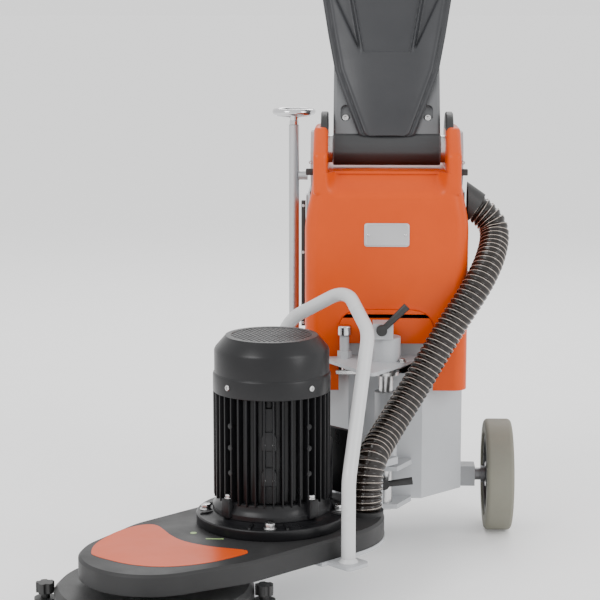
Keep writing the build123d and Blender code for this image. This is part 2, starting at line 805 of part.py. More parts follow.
with BuildPart() as swing_quadrant:
    with BuildSketch(Plane(origin=(*PIVOT, QUADRANT_Z), z_dir=(0, 0, 1))):
        with BuildLine():
            rim = CenterArc((0, 0), QUADRANT_R, RIM_FROM, RIM_TO - RIM_FROM)
            Line(rim @ 1, (0, 0))
            Line((0, 0), rim @ 0)
        make_face()
        Circle(22)
        Circle(COLUMN_R, mode=Mode.SUBTRACT)
    extrude(amount=6)

# Stops on the quadrant's rim, one past each end of the swing.
with BuildPart() as swing_stops:
    for heading in (RIM_FROM + 4, RIM_TO - 4):
        turned = Plane(origin=(*PIVOT, QUADRANT_Z), z_dir=(0, 0, 1)).rotated((0, 0, heading))
        with BuildSketch(turned):
            with Locations((QUADRANT_R + 8, 0)):
                Rectangle(18, 9)
            Circle(QUADRANT_R, mode=Mode.SUBTRACT)
        extrude(amount=6)

# Bent guard tube over the motor.
HOOP_ROUTE = [
    (*HOOP_FEET[0], DECK_BOTTOM),
    (*HOOP_FEET[0], 223),
    (127, 88, 427),
    (166, 0, 481),
    (127, -88, 427),
    (*HOOP_FEET[1], 223),
    (*HOOP_FEET[1], DECK_BOTTOM),
]
with BuildPart() as guard_hoop:
    with BuildLine() as hoop_line:
        FilletPolyline(*[at_head(*point) for point in HOOP_ROUTE], radius=[48, 60, 40, 60, 48])
    with BuildSketch(Plane(origin=hoop_line.line @ 0, z_dir=hoop_line.line % 0)):
        Circle(HOOP_R)
    sweep(path=hoop_line.line)

# ---- motor ----
FLANGE_R = 120
FLANGE_TOP = DECK_TOP + 17
BODY_LOW, BODY_HIGH = 150, 341
COWL_TOP = 428
with BuildPart() as motor_flange:
    with BuildSketch(head_plane(0, 0, DECK_TOP)):
        Circle(FLANGE_R)
    extrude(amount=FLANGE_TOP - DECK_TOP)
    with BuildSketch(head_plane(0, 0, FLANGE_TOP)):
        Circle(92)
    extrude(amount=BODY_LOW - FLANGE_TOP)
    with BuildSketch(head_plane(0, 0, DECK_TOP)):
        Circle(46)
    extrude(amount=8, mode=Mode.SUBTRACT)
    with BuildSketch(head_plane(0, 0, DECK_TOP)):
        Circle(SHAFT_R + 0.05)
    extrude(amount=60, mode=Mode.SUBTRACT)

FIN_COUNT = 32
with BuildPart() as motor_body:
    with BuildSketch(head_plane(0, 0, BODY_LOW)):
        Circle(81)
        with PolarLocations(86, FIN_COUNT):
            Rectangle(13, 3.2)
    extrude(amount=BODY_HIGH - BODY_LOW)
    with BuildSketch(head_plane(0, 0, BODY_LOW)):
        Circle(92)
    extrude(amount=22)
    # Two bosses on the side that faces away from the chassis' middle line.
    with BuildSketch(head_plane(-64, -64, 205)):
        Circle(9)
    extrude(amount=80)
    with BuildSketch(head_plane(0, 0, BODY_LOW)):
        Circle(SHAFT_R + 0.05)
    extrude(amount=BODY_HIGH - BODY_LOW, mode=Mode.SUBTRACT)

GRILLE_RINGS = ((18, 8), (30, 14), (42, 20), (54, 26))
with BuildPart() as fan_cowl:
    with BuildSketch(head_plane(0, 0, BODY_HIGH)):
        Circle(92.5)
    extrude(amount=COWL_TOP - 18 - BODY_HIGH)
    with BuildSketch(head_plane(0, 0, COWL_TOP - 18)):
        Circle(91)
    extrude(amount=18, taper=38)
    with BuildSketch(head_plane(0, 0, BODY_HIGH)):
        Circle(89)
    extrude(amount=COWL_TOP - 20 - BODY_HIGH, mode=Mode.SUBTRACT)
    with BuildSketch(head_plane(0, 0, COWL_TOP - 20)):
        Circle(87)
    extrude(amount=16, taper=38, mode=Mode.SUBTRACT)
    with BuildSketch(head_plane(0, 0, COWL_TOP - 10)):
        for radius, count in GRILLE_RINGS:
            with PolarLocations(radius, count):
                Circle(2.8)
    extrude(amount=20, mode=Mode.SUBTRACT)

TERMINAL_OUT = 152
with BuildPart() as terminal_box:
    with BuildSketch(head_plane((92.6 + TERMINAL_OUT) / 2, 0, 150.4)):
        RectangleRounded(TERMINAL_OUT - 92.6, 92, 6)
    extrude(amount=107)

with BuildPart() as motor_bolts:
    with BuildSketch(head_plane(0, 0, FLANGE_TOP)):
        with PolarLocations(105, 4, start_angle=45):
            Circle(9)
    extrude(amount=2)
    with BuildSketch(head_plane(0, 0, FLANGE_TOP + 2)):
        with PolarLocations(105, 4, start_angle=45):
            RegularPolygon(7.5, 6)
    extrude(amount=7)

with BuildPart() as motor_rotor:
    with BuildSketch(head_plane(0, 0, PULLEY_LOW)):
        Circle(SHAFT_R)
    extrude(amount=BODY_HIGH + 40 - PULLEY_LOW)
    with BuildSketch(head_plane(0, 0, PULLEY_LOW)):
        Circle(MOTOR_PULLEY_R)
    extrude(amount=PULLEY_HIGH - PULLEY_LOW)

with BuildPart() as cooling_fan:
    with BuildSketch(head_plane(0, 0, BODY_HIGH + 8)):
        Circle(30)
        with PolarLocations(52, 9):
            Rectangle(48, 3)
        Circle(SHAFT_R, mode=Mode.SUBTRACT)
    extrude(amount=24)

# ---- belt and grinding spindle ----
with BuildPart() as drive_belt:
    with BuildSketch(head_plane(0, 0, PULLEY_LOW + 3)):
        with Locations((0, 0)):
            Circle(MOTOR_PULLEY_R + 4)
        with Locations((-HEAD_REACH, 0)):
            Circle(DISC_PULLEY_R + 4)
        make_hull()
        with Locations((0, 0)):
            Circle(MOTOR_PULLEY_R + 0.4, mode=Mode.SUBTRACT)
        with Locations((-HEAD_REACH, 0)):
            Circle(DISC_PULLEY_R + 0.4, mode=Mode.SUBTRACT)
        lean = (DISC_PULLEY_R - MOTOR_PULLEY_R) / HEAD_REACH
        rise = cos(lean)
        with BuildLine():
            Polyline(
                (lean * -MOTOR_PULLEY_R, rise * (MOTOR_PULLEY_R + 0.4)),
                (-HEAD_REACH - lean * DISC_PULLEY_R, rise * (DISC_PULLEY_R + 0.4)),
                (-HEAD_REACH - lean * DISC_PULLEY_R, -rise * (DISC_PULLEY_R + 0.4)),
                (lean * -MOTOR_PULLEY_R, -rise * (MOTOR_PULLEY_R + 0.4)),
                close=True,
            )
        make_face(mode=Mode.SUBTRACT)
    extrude(amount=10)

with BuildPart() as spindle_housing:
    with BuildSketch(head_plane(-HEAD_REACH, 0, 44)):
        Circle(29.8)
        Circle(SPINDLE_R + 0.05, mode=Mode.SUBTRACT)
    extrude(amount=DECK_BOTTOM + 5 - 44)

DISC_LOW, DISC_HIGH = 10, 18
with BuildPart() as spindle:
    with BuildSketch(head_plane(-HEAD_REACH, 0, DISC_HIGH)):
        Circle(SPINDLE_R)
    extrude(amount=PULLEY_HIGH - DISC_HIGH)
    with BuildSketch(head_plane(-HEAD_REACH, 0, DISC_HIGH)):
        Circle(45)
    extrude(amount=16)
    with BuildSketch(head_plane(-HEAD_REACH, 0, PULLEY_LOW)):
        Circle(DISC_PULLEY_R)
    extrude(amount=PULLEY_HIGH - PULLEY_LOW)

SEGMENT_COUNT = 9
with BuildPart() as grinding_disc:
    with BuildSketch(head_plane(-HEAD_REACH, 0, DISC_LOW)):
        Circle(DISC_R)
        with PolarLocations(35, 6):
            Circle(3.3, mode=Mode.SUBTRACT)
    extrude(amount=DISC_HIGH - DISC_LOW)
with BuildPart() as diamond_segments:
    with BuildSketch(head_plane(-HEAD_REACH, 0, 0)):
        with PolarLocations(115, SEGMENT_COUNT):
            Rectangle(34, 12)
    extrude(amount=DISC_LOW)

# ---- floating dust shroud ----
SHROUD_TOP = 79.5
KNOB_OUT = 165
KNOB_ANGLES = (0, 180, 270)
LID_LOW = 70.5
lug_places = [
    (HEAD[0] + KNOB_OUT * cos(radians(angle)), HEAD[1] + KNOB_OUT * sin(radians(angle)))
    for angle in KNOB_ANGLES
]
# Wall of the shroud with a lug for each knob.
with BuildPart() as dust_shroud:
    for place in lug_places:
        with BuildSketch(Plane(origin=(*place, 40), z_dir=(0, 0, 1))):
            Circle(17)
        extrude(amount=16)
    with BuildSketch(Plane(origin=(*HEAD, 14), z_dir=(0, 0, 1))):
        Circle(SHROUD_R)
    extrude(amount=LID_LOW - 14)
    with BuildSketch(Plane(origin=(*HEAD, 14), z_dir=(0, 0, 1))):
        Circle(SHROUD_R - 5)
    extrude(amount=LID_LOW - 14, mode=Mode.SUBTRACT)

with BuildPart() as shroud_lid:
    with BuildSketch(Plane(origin=(*HEAD, LID_LOW), z_dir=(0, 0, 1))):
        Circle(SHROUD_R)
    extrude(amount=SHROUD_TOP - LID_LOW)
    chamfer(shroud_lid.faces().sort_by(Axis.Z)[-1].edges(), length=7)
    with BuildSketch(Plane(origin=(*HEAD, LID_LOW), z_dir=(0, 0, 1))):
        Circle(30.3)
    extrude(amount=20, mode=Mode.SUBTRACT)

with BuildPart() as shroud_brush:
    with BuildSketch(Plane(origin=(*HEAD, 0), z_dir=(0, 0, 1))):
        Circle(SHROUD_R - 0.5)
        Circle(SHROUD_R - 4.5, mode=Mode.SUBTRACT)
    extrude(amount=14)

with BuildPart() as shroud_knobs:
    for place in lug_places:
        with BuildSketch(Plane(origin=(*place, 56), z_dir=(0, 0, 1))):
            Circle(7)
        extrude(amount=8)
        with BuildSketch(Plane(origin=(*place, 64), z_dir=(0, 0, 1))):
            Circle(14)
            with PolarLocations(16, 5):
                Circle(5, mode=Mode.SUBTRACT)
        extrude(amount=SHROUD_TOP - 64)


# ================= dust hose and motor lead =================


def cord_radii(points):
    """Bend radius at each inner point: as large as the shorter run beside it allows."""
    radii = []
    for before, here, after in zip(points, points[1:], points[2:]):
        run_in, run_out = Vector(*here) - Vector(*before), Vector(*after) - Vector(*here)
        half_turn = radians(run_in.get_angle(run_out)) / 2
        radii.append(0.45 * min(run_in.length, run_out.length) / tan(half_turn))
    return radii


def cord_tube(points, radius, name):
    """A round tube along straight runs joined by tangent arcs."""
    radii = cord_radii(points)
    with BuildPart() as tube:
        with BuildLine() as route:
            FilletPolyline(*points, radius=radii)
        with BuildSketch(Plane(origin=route.line @ 0, z_dir=route.line % 0)):
            Circle(radius)
        sweep(path=route.line)
    length = route.wires()[0].length
    ratio = tube.part.volume / (pi * radius**2 * length)
    bends = ", ".join(f"{r:.0f}" for r in radii)
    print(f"{name}: length {length:.0f}, bend radii {bends}, volume ratio {ratio:.3f}")
    return tube.part


HOSE_ROUTE = [
    HOSE_TOP,
    (179.2, -91, 575.6),
    (188, -106, 543),
    (164, -172, 488),
    (104, -212, 404),
    (52, -244, 320),
    (-6, -304, 240),
    (-32, -361, 206),
    (-32, -361, DECK_TOP + 8),
]
dust_hose = cord_tube(HOSE_ROUTE, HOSE_R, "dust_hose")

LEAD_R = 4.5
LEAD_ROUTE = [
    at_head(TERMINAL_OUT + 0.3, 0, 240),
    at_head(TERMINAL_OUT + 24, 0, 240),
    (-46, -230, 236),
    (-40, -192, 250),
    (-40, BODY_FRONT - 0.3, 250),
]
motor_lead = cord_tube(LEAD_ROUTE, LEAD_R, "motor_lead")

# ================= written pieces =================
pieces = {
    "chassis_tub": chassis_tub.part,
    "side_plate_left": side_plates["left"],
    "side_plate_right": side_plates["right"],
    "hinge_pin": hinge_pin.part,
    "front_cover": front_cover.part,
    "badge": badge.part,
    "handle_hinge": handle_hinge.part,
    "handle_shield": handle_shield.part,
    "handle_spine": handle_spine.part,
    "console": console.part,
    "control_bezels": control_bezels.part,
    "start_button": buttons["start_button"],
    "stop_button": buttons["stop_button"],
    "emergency_stop": emergency_stop.part,
    "speed_knob": speed_knob.part,
    "handlebar": handlebar.part,
    "grip_left": grips["left"],
    "grip_right": grips["right"],
    "screw_post": screw_post.part,
    "handwheel": handwheel.part,
    "axle_carriage": axle_carriage.part,
    "axle": axle.part,
    "axle_bolts": axle_bolts.part,
    "wheel_rim_left": wheel_parts["left"][0],
    "wheel_tyre_left": wheel_parts["left"][1],
    "wheel_rim_right": wheel_parts["right"][0],
    "wheel_tyre_right": wheel_parts["right"][1],
}
pieces |= {
    "pivot_plate": pivot_plate.part,
    "index_plunger": index_plunger.part,
    "lower_bracket": lower_bracket.part,
    "upper_lever": upper_lever,
    "lower_lever": lower_lever,
    "hose_elbow": hose_elbow.part,
    "power_inlet": power_inlet.part,
    "dust_spigot": dust_spigot.part,
}
pieces |= {
    "belt_cover": belt_cover.part,
    "frame_plate": frame_plate.part,
    "swing_arm": swing_arm.part,
    "pivot_column": pivot_column.part,
    "swing_quadrant": swing_quadrant.part,
    "swing_stops": swing_stops.part,
    "guard_hoop": guard_hoop.part,
    "motor_flange": motor_flange.part,
    "motor_body": motor_body.part,
    "fan_cowl": fan_cowl.part,
    "terminal_box": terminal_box.part,
    "motor_bolts": motor_bolts.part,
    "motor_rotor": motor_rotor.part,
    "cooling_fan": cooling_fan.part,
    "drive_belt": drive_belt.part,
    "spindle_housing": spindle_housing.part,
    "spindle": spindle.part,
    "grinding_disc": grinding_disc.part,
    "diamond_segments": diamond_segments.part,
    "dust_shroud": dust_shroud.part,
    "shroud_lid": shroud_lid.part,
    "shroud_brush": shroud_brush.part,
    "shroud_knobs": shroud_knobs.part,
    "dust_hose": dust_hose,
    "motor_lead": motor_lead,
}
for name, piece in pieces.items():
    save(piece, name)
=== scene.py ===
import json
from math import cos, radians, sin, tau

import bmesh
import bpy
import numpy as np
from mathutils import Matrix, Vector


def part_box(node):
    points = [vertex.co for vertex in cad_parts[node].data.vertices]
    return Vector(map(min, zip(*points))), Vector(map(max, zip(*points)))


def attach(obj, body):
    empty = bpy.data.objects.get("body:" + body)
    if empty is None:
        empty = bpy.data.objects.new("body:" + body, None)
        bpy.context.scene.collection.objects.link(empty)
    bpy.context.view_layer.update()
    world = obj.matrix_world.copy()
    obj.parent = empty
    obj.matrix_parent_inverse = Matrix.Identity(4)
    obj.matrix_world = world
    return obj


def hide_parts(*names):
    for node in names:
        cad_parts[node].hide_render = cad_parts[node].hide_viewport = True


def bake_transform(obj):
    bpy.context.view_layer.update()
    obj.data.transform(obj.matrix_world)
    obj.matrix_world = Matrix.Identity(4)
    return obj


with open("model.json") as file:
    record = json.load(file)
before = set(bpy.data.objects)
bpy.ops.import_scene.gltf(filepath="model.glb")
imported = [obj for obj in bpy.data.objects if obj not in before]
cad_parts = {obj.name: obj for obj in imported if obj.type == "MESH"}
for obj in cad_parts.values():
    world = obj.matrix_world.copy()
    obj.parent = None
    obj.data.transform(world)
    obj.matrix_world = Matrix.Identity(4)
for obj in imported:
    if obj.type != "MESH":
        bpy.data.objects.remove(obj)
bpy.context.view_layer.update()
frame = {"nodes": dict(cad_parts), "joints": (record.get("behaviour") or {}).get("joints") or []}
nodes = frame["nodes"]

# ---------------------------------------------------------------- places from the frame


def middle(node):
    low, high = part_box(node)
    return (low + high) / 2


motor_centre = middle("motor_flange")
disc_centre = middle("grinding_disc")
forward = (disc_centre - motor_centre).to_2d().normalized()  # from the motor to the disc
HEAD_BACK = Vector((-forward.x, -forward.y, 0))
HEAD_SIDE = Vector((-forward.y, forward.x, 0))
if HEAD_SIDE.x < 0:
    HEAD_SIDE = -HEAD_SIDE
UP = Vector((0, 0, 1))
joint = {j["name"]: j for j in frame["joints"]}
hinge = Vector(joint["handle_fold"]["pos_m"])
handle_up = -Vector(joint["start_press"]["axis"])
handle_front = Vector((0, -handle_up.z, handle_up.y))


def on_head(along, side, z):
    """A point from the motor's axis, to the rear and to the right of the head, in millimetres."""
    return Vector((motor_centre.x, motor_centre.y, 0)) + (HEAD_BACK * along + HEAD_SIDE * side) / 1000 + UP * z / 1000


axle = middle("axle")
hinge.x = axle.x


def at(x, y, z):
    """A point from the floor under the middle of the axle, in millimetres."""
    return Vector((axle.x + x / 1000, axle.y + y / 1000, z / 1000))


def on_handle(across, along, out):
    """A point on the handle: across it, up it from the hinge, and out of its front, in millimetres."""
    return hinge + (Vector((across, 0, 0)) + handle_up * along + handle_front * out) / 1000

# ---------------------------------------------------------------- materials


def material(
    name,
    colour,
    second=None,
    rough=(0.4, 0.55),
    metal=0.0,
    grain=(60.0, 0.02),
    patch=9.0,
    bevel=0.0008,
    coat=0.0,
    stretch=(1, 1, 1),
    bump_distance=0.001,
    specular=0.5,
):
    """A painted, moulded or metal surface.

    Its colour and roughness wander, its edges are eased, and a fine grain stands up.
    """
    mat = bpy.data.materials.new(name)
    mat.use_nodes = True
    tree = mat.node_tree
    shader = tree.nodes["Principled BSDF"]
    link = tree.links.new
    second = second or tuple(c * 0.8 for c in colour)

    def add(kind, **values):
        node = tree.nodes.new(kind)
        for key, value in values.items():
            node.inputs[key].default_value = value
        return node

    where = add("ShaderNodeTexCoord")
    mapping = add("ShaderNodeMapping", Scale=stretch)
    link(where.outputs["Object"], mapping.inputs["Vector"])

    patches = add("ShaderNodeTexNoise", Scale=patch, Detail=6.0, Roughness=0.6)
    link(mapping.outputs["Vector"], patches.inputs["Vector"])
    ramp = add("ShaderNodeValToRGB")
    ramp.color_ramp.elements[0].position = 0.35
    ramp.color_ramp.elements[1].position = 0.7
    ramp.color_ramp.elements[0].color = (*colour, 1)
    ramp.color_ramp.elements[1].color = (*second, 1)
    link(patches.outputs["Fac"], ramp.inputs["Fac"])
    link(ramp.outputs["Color"], shader.inputs["Base Color"])

    smudge = add("ShaderNodeTexNoise", Scale=patch * 2.3, Detail=8.0)
    link(mapping.outputs["Vector"], smudge.inputs["Vector"])
    spread = add("ShaderNodeMapRange")
    spread.inputs["From Min"].default_value = 0.3
    spread.inputs["From Max"].default_value = 0.7
    spread.inputs["To Min"].default_value = rough[0]
    spread.inputs["To Max"].default_value = rough[1]
    link(smudge.outputs["Fac"], spread.inputs["Value"])
    link(spread.outputs["Result"], shader.inputs["Roughness"])

    fine = add("ShaderNodeTexNoise", Scale=grain[0], Detail=3.0)
    link(mapping.outputs["Vector"], fine.inputs["Vector"])
    bump = add("ShaderNodeBump", Strength=grain[1], Distance=bump_distance)
    link(fine.outputs["Fac"], bump.inputs["Height"])
    if bevel:
        edge = add("ShaderNodeBevel", Radius=bevel)
        edge.samples = 6
        link(edge.outputs["Normal"], bump.inputs["Normal"])
    link(bump.outputs["Normal"], shader.inputs["Normal"])
    shader.inputs["Metallic"].default_value = metal
    shader.inputs["Specular IOR Level"].default_value = specular
    if coat:
        shader.inputs["Coat Weight"].default_value = coat
        shader.inputs["Coat Roughness"].default_value = 0.18
    return mat


MATERIALS = {
    "sheet": material(
        "sheet_grey_paint", (0.42, 0.43, 0.445), (0.39, 0.40, 0.415), (0.32, 0.42),
        grain=(900, 0.05),
    ),
    "tube_grey": material(
        "tube_white_paint", (0.56, 0.565, 0.57), (0.52, 0.525, 0.53), (0.25, 0.35), coat=0.3,
    ),
    "cover": material(
        "cover_orange", (0.60, 0.066, 0.001), (0.55, 0.058, 0.001), (0.30, 0.40),
        grain=(1400, 0.03), bevel=0.002, specular=0.22,
    ),
    "graphite": material(
        "graphite_plastic", (0.036, 0.037, 0.040), (0.029, 0.030, 0.033), (0.30, 0.42),
        grain=(1600, 0.10), bevel=0.0015, specular=0.32,
    ),
    "graphite_light": material(
        "graphite_light", (0.12, 0.123, 0.128), (0.10, 0.103, 0.107), (0.38, 0.5),
        grain=(1600, 0.10), bevel=0.001,
    ),
    "deck": material(
        "deck_dark_paint", (0.024, 0.024, 0.0245), (0.020, 0.020, 0.0205), (0.42, 0.55),
        grain=(700, 0.10), specular=0.3,
    ),
    "motor": material(
        "motor_black_paint", (0.006, 0.006, 0.007), (0.009, 0.009, 0.010), (0.26, 0.40),
        grain=(420, 0.15), bevel=0.001, specular=0.3,
    ),
    "cowl": material(
        "cowl_black_paint", (0.008, 0.008, 0.009), (0.011, 0.011, 0.012), (0.28, 0.38),
        grain=(800, 0.08), bevel=0.0015, specular=0.3,
    ),
    "steel": material(
        "zinc_steel", (0.62, 0.62, 0.62), (0.50, 0.50, 0.50), (0.22, 0.38), metal=1.0,
        grain=(300, 0.06),
    ),
    "dark_steel": material(
        "dark_steel", (0.20, 0.20, 0.21), (0.12, 0.12, 0.12), (0.25, 0.4), metal=1.0,
        grain=(200, 0.08),
    ),
    "chrome": material(
        "polished_metal", (0.60, 0.60, 0.61), (0.52, 0.52, 0.53), (0.10, 0.18), metal=1.0,
        grain=(160, 0.02),
    ),
    "alu": material(
        "satin_aluminium", (0.52, 0.52, 0.53), (0.46, 0.46, 0.47), (0.38, 0.48), metal=1.0,
        stretch=(1, 1, 0.05), grain=(800, 0.04),
    ),
    "black": material(
        "black_plastic", (0.014, 0.014, 0.014), (0.02, 0.02, 0.02), (0.42, 0.55),
        grain=(1500, 0.15), bevel=0.001,
    ),
    "rubber": material(
        "black_rubber", (0.016, 0.016, 0.016), (0.024, 0.023, 0.022), (0.6, 0.75),
        grain=(900, 0.25),
    ),
    "tyre": material(
        "grey_tyre", (0.20, 0.195, 0.155), (0.17, 0.166, 0.135), (0.62, 0.78), grain=(500, 0.25),
        bevel=0.002,
    ),
    "red": material(
        "red_plastic", (0.55, 0.010, 0.008), (0.48, 0.008, 0.006), (0.22, 0.32), coat=0.4,
    ),
    "green": material(
        "green_plastic", (0.015, 0.28, 0.05), (0.012, 0.23, 0.04), (0.25, 0.35), coat=0.3,
    ),
    "hose": material(
        "hose_dark", (0.012, 0.008, 0.006), (0.008, 0.006, 0.005), (0.14, 0.24), grain=(500, 0.06),
        bevel=0, specular=0.42,
    ),
    # Pale hose wire: partly the wire's own colour, partly a painted highlight standing in for the glints on the hose's
    # crests.
    "wire_and_painted_highlight": material(
        "hose_wire_and_painted_highlight", (0.42, 0.37, 0.33), (0.30, 0.26, 0.23), (0.2, 0.3), metal=0.7, bevel=0,
    ),
    "lead": material("lead_sheath", (0.30, 0.235, 0.20), (0.25, 0.19, 0.16), (0.4, 0.55), bevel=0),
    "belt": material("belt_rubber", (0.02, 0.02, 0.02), (0.03, 0.03, 0.03), (0.6, 0.8)),
    "diamond": material(
        "diamond_segment", (0.35, 0.33, 0.30), (0.22, 0.21, 0.20), (0.5, 0.7), metal=0.7,
        grain=(900, 0.6),
    ),
    "barrel": material(
        "barrel_dark_plastic", (0.026, 0.027, 0.029), (0.022, 0.023, 0.024), (0.3, 0.42),
        grain=(1600, 0.08),
    ),
    "tyre_seam": material(
        "tyre_seam_dark", (0.16, 0.158, 0.14), (0.13, 0.128, 0.11), (0.6, 0.75), bevel=0,
    ),
    "label": material(
        "label_orange", (0.60, 0.066, 0.001), (0.55, 0.060, 0.001), (0.30, 0.38), bevel=0,
        specular=0.25,
    ),
    "pale_green": material(
        "pale_green_mark", (0.28, 0.40, 0.16), (0.24, 0.35, 0.14), (0.4, 0.5), bevel=0,
    ),
    "brush": material(
        "brush_bristle", (0.03, 0.03, 0.03), (0.012, 0.012, 0.012), (0.6, 0.8), grain=(1500, 0.8),
        stretch=(1, 1, 0.06),
    ),
}

FINISH = {
    "sheet": ["chassis_tub", "side_plate_left", "side_plate_right", "pivot_plate", "lower_bracket",
              "frame_plate", "swing_arm", "axle_carriage"],
    "tube_grey": ["guard_hoop"],
    "cover": ["front_cover"],
    "graphite": ["handle_shield", "console"],
    "graphite_light": ["handle_hinge"],
    "deck": ["belt_cover"],
    "motor": ["motor_body", "motor_flange", "terminal_box", "cooling_fan"],
    "cowl": ["fan_cowl"],
    "steel": ["hinge_pin", "axle_bolts", "motor_bolts", "motor_rotor", "spindle",
              "spindle_housing", "grinding_disc", "pivot_column", "swing_quadrant", "swing_stops"],
    "dark_steel": ["axle", "wheel_rim_left", "wheel_rim_right"],
    "chrome": ["handwheel", "index_plunger", "badge"],
    "alu": ["screw_post"],
    "diamond": ["diamond_segments"],
    "black": ["control_bezels", "speed_knob", "upper_lever", "lower_lever", "dust_shroud",
              "shroud_lid", "shroud_knobs", "hose_elbow", "dust_spigot", "power_inlet", "handle_spine", "handlebar"],
    "rubber": ["grip_left", "grip_right"],
    "belt": ["drive_belt"],
    "tyre": ["wheel_tyre_left", "wheel_tyre_right"],
    "red": ["emergency_stop", "stop_button"],
    "green": ["start_button"],
    "brush": ["shroud_brush"],
    "lead": ["motor_lead"],
    "hose": ["dust_hose"],
}
for finish, names in FINISH.items():
    for name in names:
        nodes[name].data.materials.clear()
        nodes[name].data.materials.append(MATERIALS[finish])

# ---------------------------------------------------------------- mesh helpers


def new_object(name, verts, faces, finish, body=None, smooth=True):
    """A mesh piece from points and faces, with its material, riding on a body."""
    mesh = bpy.data.meshes.new(name)
    mesh.from_pydata([tuple(v) for v in verts], [], faces)
    mesh.validate()
    mesh.update()
    if smooth:
        mesh.shade_smooth()
    piece = bpy.data.objects.new(name, mesh)
    bpy.context.scene.collection.objects.link(piece)
    mesh.materials.append(MATERIALS[finish])
    if body:
        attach(piece, body)
    return piece


def face_out(piece):
    """Turns every face of a closed piece outwards."""
    build = bmesh.new()
    build.from_mesh(piece.data)
    bmesh.ops.recalc_face_normals(build, faces=build.faces)
    build.to_mesh(piece.data)
    build.free()


def sharpen(piece, angle=35):
    """Marks the edges between faces that meet at more than an angle, so that they stay crisp."""
    build = bmesh.new()
    build.from_mesh(piece.data)
    for edge in build.edges:
        edge.smooth = not (len(edge.link_faces) == 2 and edge.calc_face_angle(0) > radians(angle))
    build.to_mesh(piece.data)
    build.free()


def bevelled(piece, width, segments=3, angle=30):
    """Rounds the piece's edges and applies the rounding to its mesh."""
    rounding = piece.modifiers.new("rounding", "BEVEL")
    rounding.width = width
    rounding.segments = segments
    rounding.limit_method = "ANGLE"
    rounding.angle_limit = radians(angle)
    graph = bpy.context.evaluated_depsgraph_get()
    done = bpy.data.meshes.new_from_object(piece.evaluated_get(graph))
    piece.modifiers.clear()
    old = piece.data
    piece.data = done
    bpy.data.meshes.remove(old)
    done.shade_smooth()
    sharpen(piece, 40)
    return piece


def frames_along(path):
    """Side and up directions at each point of a path, turned as little as possible from one to the next."""
    points = np.array([tuple(p) for p in path])
    ahead = np.gradient(points, axis=0)
    ahead /= np.linalg.norm(ahead, axis=1)[:, None]
    side = np.cross(ahead[0], (0.3, 0.2, 0.93))
    side /= np.linalg.norm(side)
    sides, ups = [], []
    for direction in ahead:
        side = side - direction * side.dot(direction)
        side /= np.linalg.norm(side)
        sides.append(side.copy())
        ups.append(np.cross(direction, side))
    return points, np.array(sides), np.array(ups)


def swept(name, path, radii, finish, sides=24, closed_ends=True, body=None):
    """A round tube along a path whose radius is given at each point."""
    points, side, up = frames_along(path)
    verts, faces = [], []
    for i, centre in enumerate(points):
        for k in range(sides):
            a = tau * k / sides
            verts.append(centre + radii[i] * (cos(a) * side[i] + sin(a) * up[i]))
    for i in range(len(points) - 1):
        for k in range(sides):
            a, b = i * sides + k, i * sides + (k + 1) % sides
            faces.append((a, b, b + sides, a + sides))
    if closed_ends:
        faces.append(tuple(range(sides))[::-1])
        faces.append(tuple(len(verts) - sides + k for k in range(sides)))
    return new_object(name, verts, faces, finish, body)


def lathe(name, centre, axis, profile, finish, body, steps=96, start=None):
    """A turned piece: profile points are (height along the axis, radius), in millimetres."""
    axis = Vector(axis).normalized()
    side = axis.orthogonal().normalized() if start is None else Vector(start)
    other = axis.cross(side)
    verts, faces = [], []
    for height, radius in profile:
        for k in range(steps):
            a = tau * k / steps
            verts.append(Vector(centre) + axis * height / 1000 + (side * cos(a) + other * sin(a)) * radius / 1000)
    rows = len(profile)
    for i in range(rows - 1):
        for k in range(steps):
            a, b = i * steps + k, i * steps + (k + 1) % steps
            faces.append((a, b, b + steps, a + steps))
    piece = new_object(name, verts, faces, finish)
    build = bmesh.new()
    build.from_mesh(piece.data)
    bmesh.ops.remove_doubles(build, verts=build.verts, dist=1e-6)
    bmesh.ops.recalc_face_normals(build, faces=build.faces)
    build.to_mesh(piece.data)
    build.free()
    piece.data.shade_smooth()
    sharpen(piece)
    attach(piece, body)
    return piece


def prism(name, outline, origin, x_dir, y_dir, depth, finish, body=None, round_by=0.0):
    """A flat outline in millimetres, set on a plane and thickened along its normal."""
    x_dir, y_dir = Vector(x_dir).normalized(), Vector(y_dir).normalized()
    normal = x_dir.cross(y_dir)
    base = [Vector(origin) + (x_dir * x + y_dir * y) / 1000 for x, y in outline]
    count = len(base)
    verts = base + [p + normal * depth / 1000 for p in base]
    faces = [tuple(range(count))[::-1], tuple(range(count, 2 * count))]
    faces += [(k, (k + 1) % count, count + (k + 1) % count, count + k) for k in range(count)]
    piece = new_object(name, verts, faces, finish, smooth=False)
    face_out(piece)
    if round_by:
        bevelled(piece, round_by / 1000)
    if body:
        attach(piece, body)
    return piece


def circle(radius, steps=24, centre=(0, 0)):
    x, y = centre
    return [(x + radius * cos(tau * k / steps), y + radius * sin(tau * k / steps)) for k in range(steps)]


def joined(name, parts, body):
    """Several pieces with one finish made into one."""
    build = bmesh.new()
    for part in parts:
        part.data.transform(part.matrix_world)
        build.from_mesh(part.data)
    finish = parts[0].data.materials[0]
    for part in parts:
        bpy.data.objects.remove(part)
    mesh = bpy.data.meshes.new(name)
    build.to_mesh(mesh)
    build.free()
    mesh.materials.append(finish)
    piece = bpy.data.objects.new(name, mesh)
    bpy.context.scene.collection.objects.link(piece)
    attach(piece, body)
    return piece


# ---------------------------------------------------------------- hose and lead


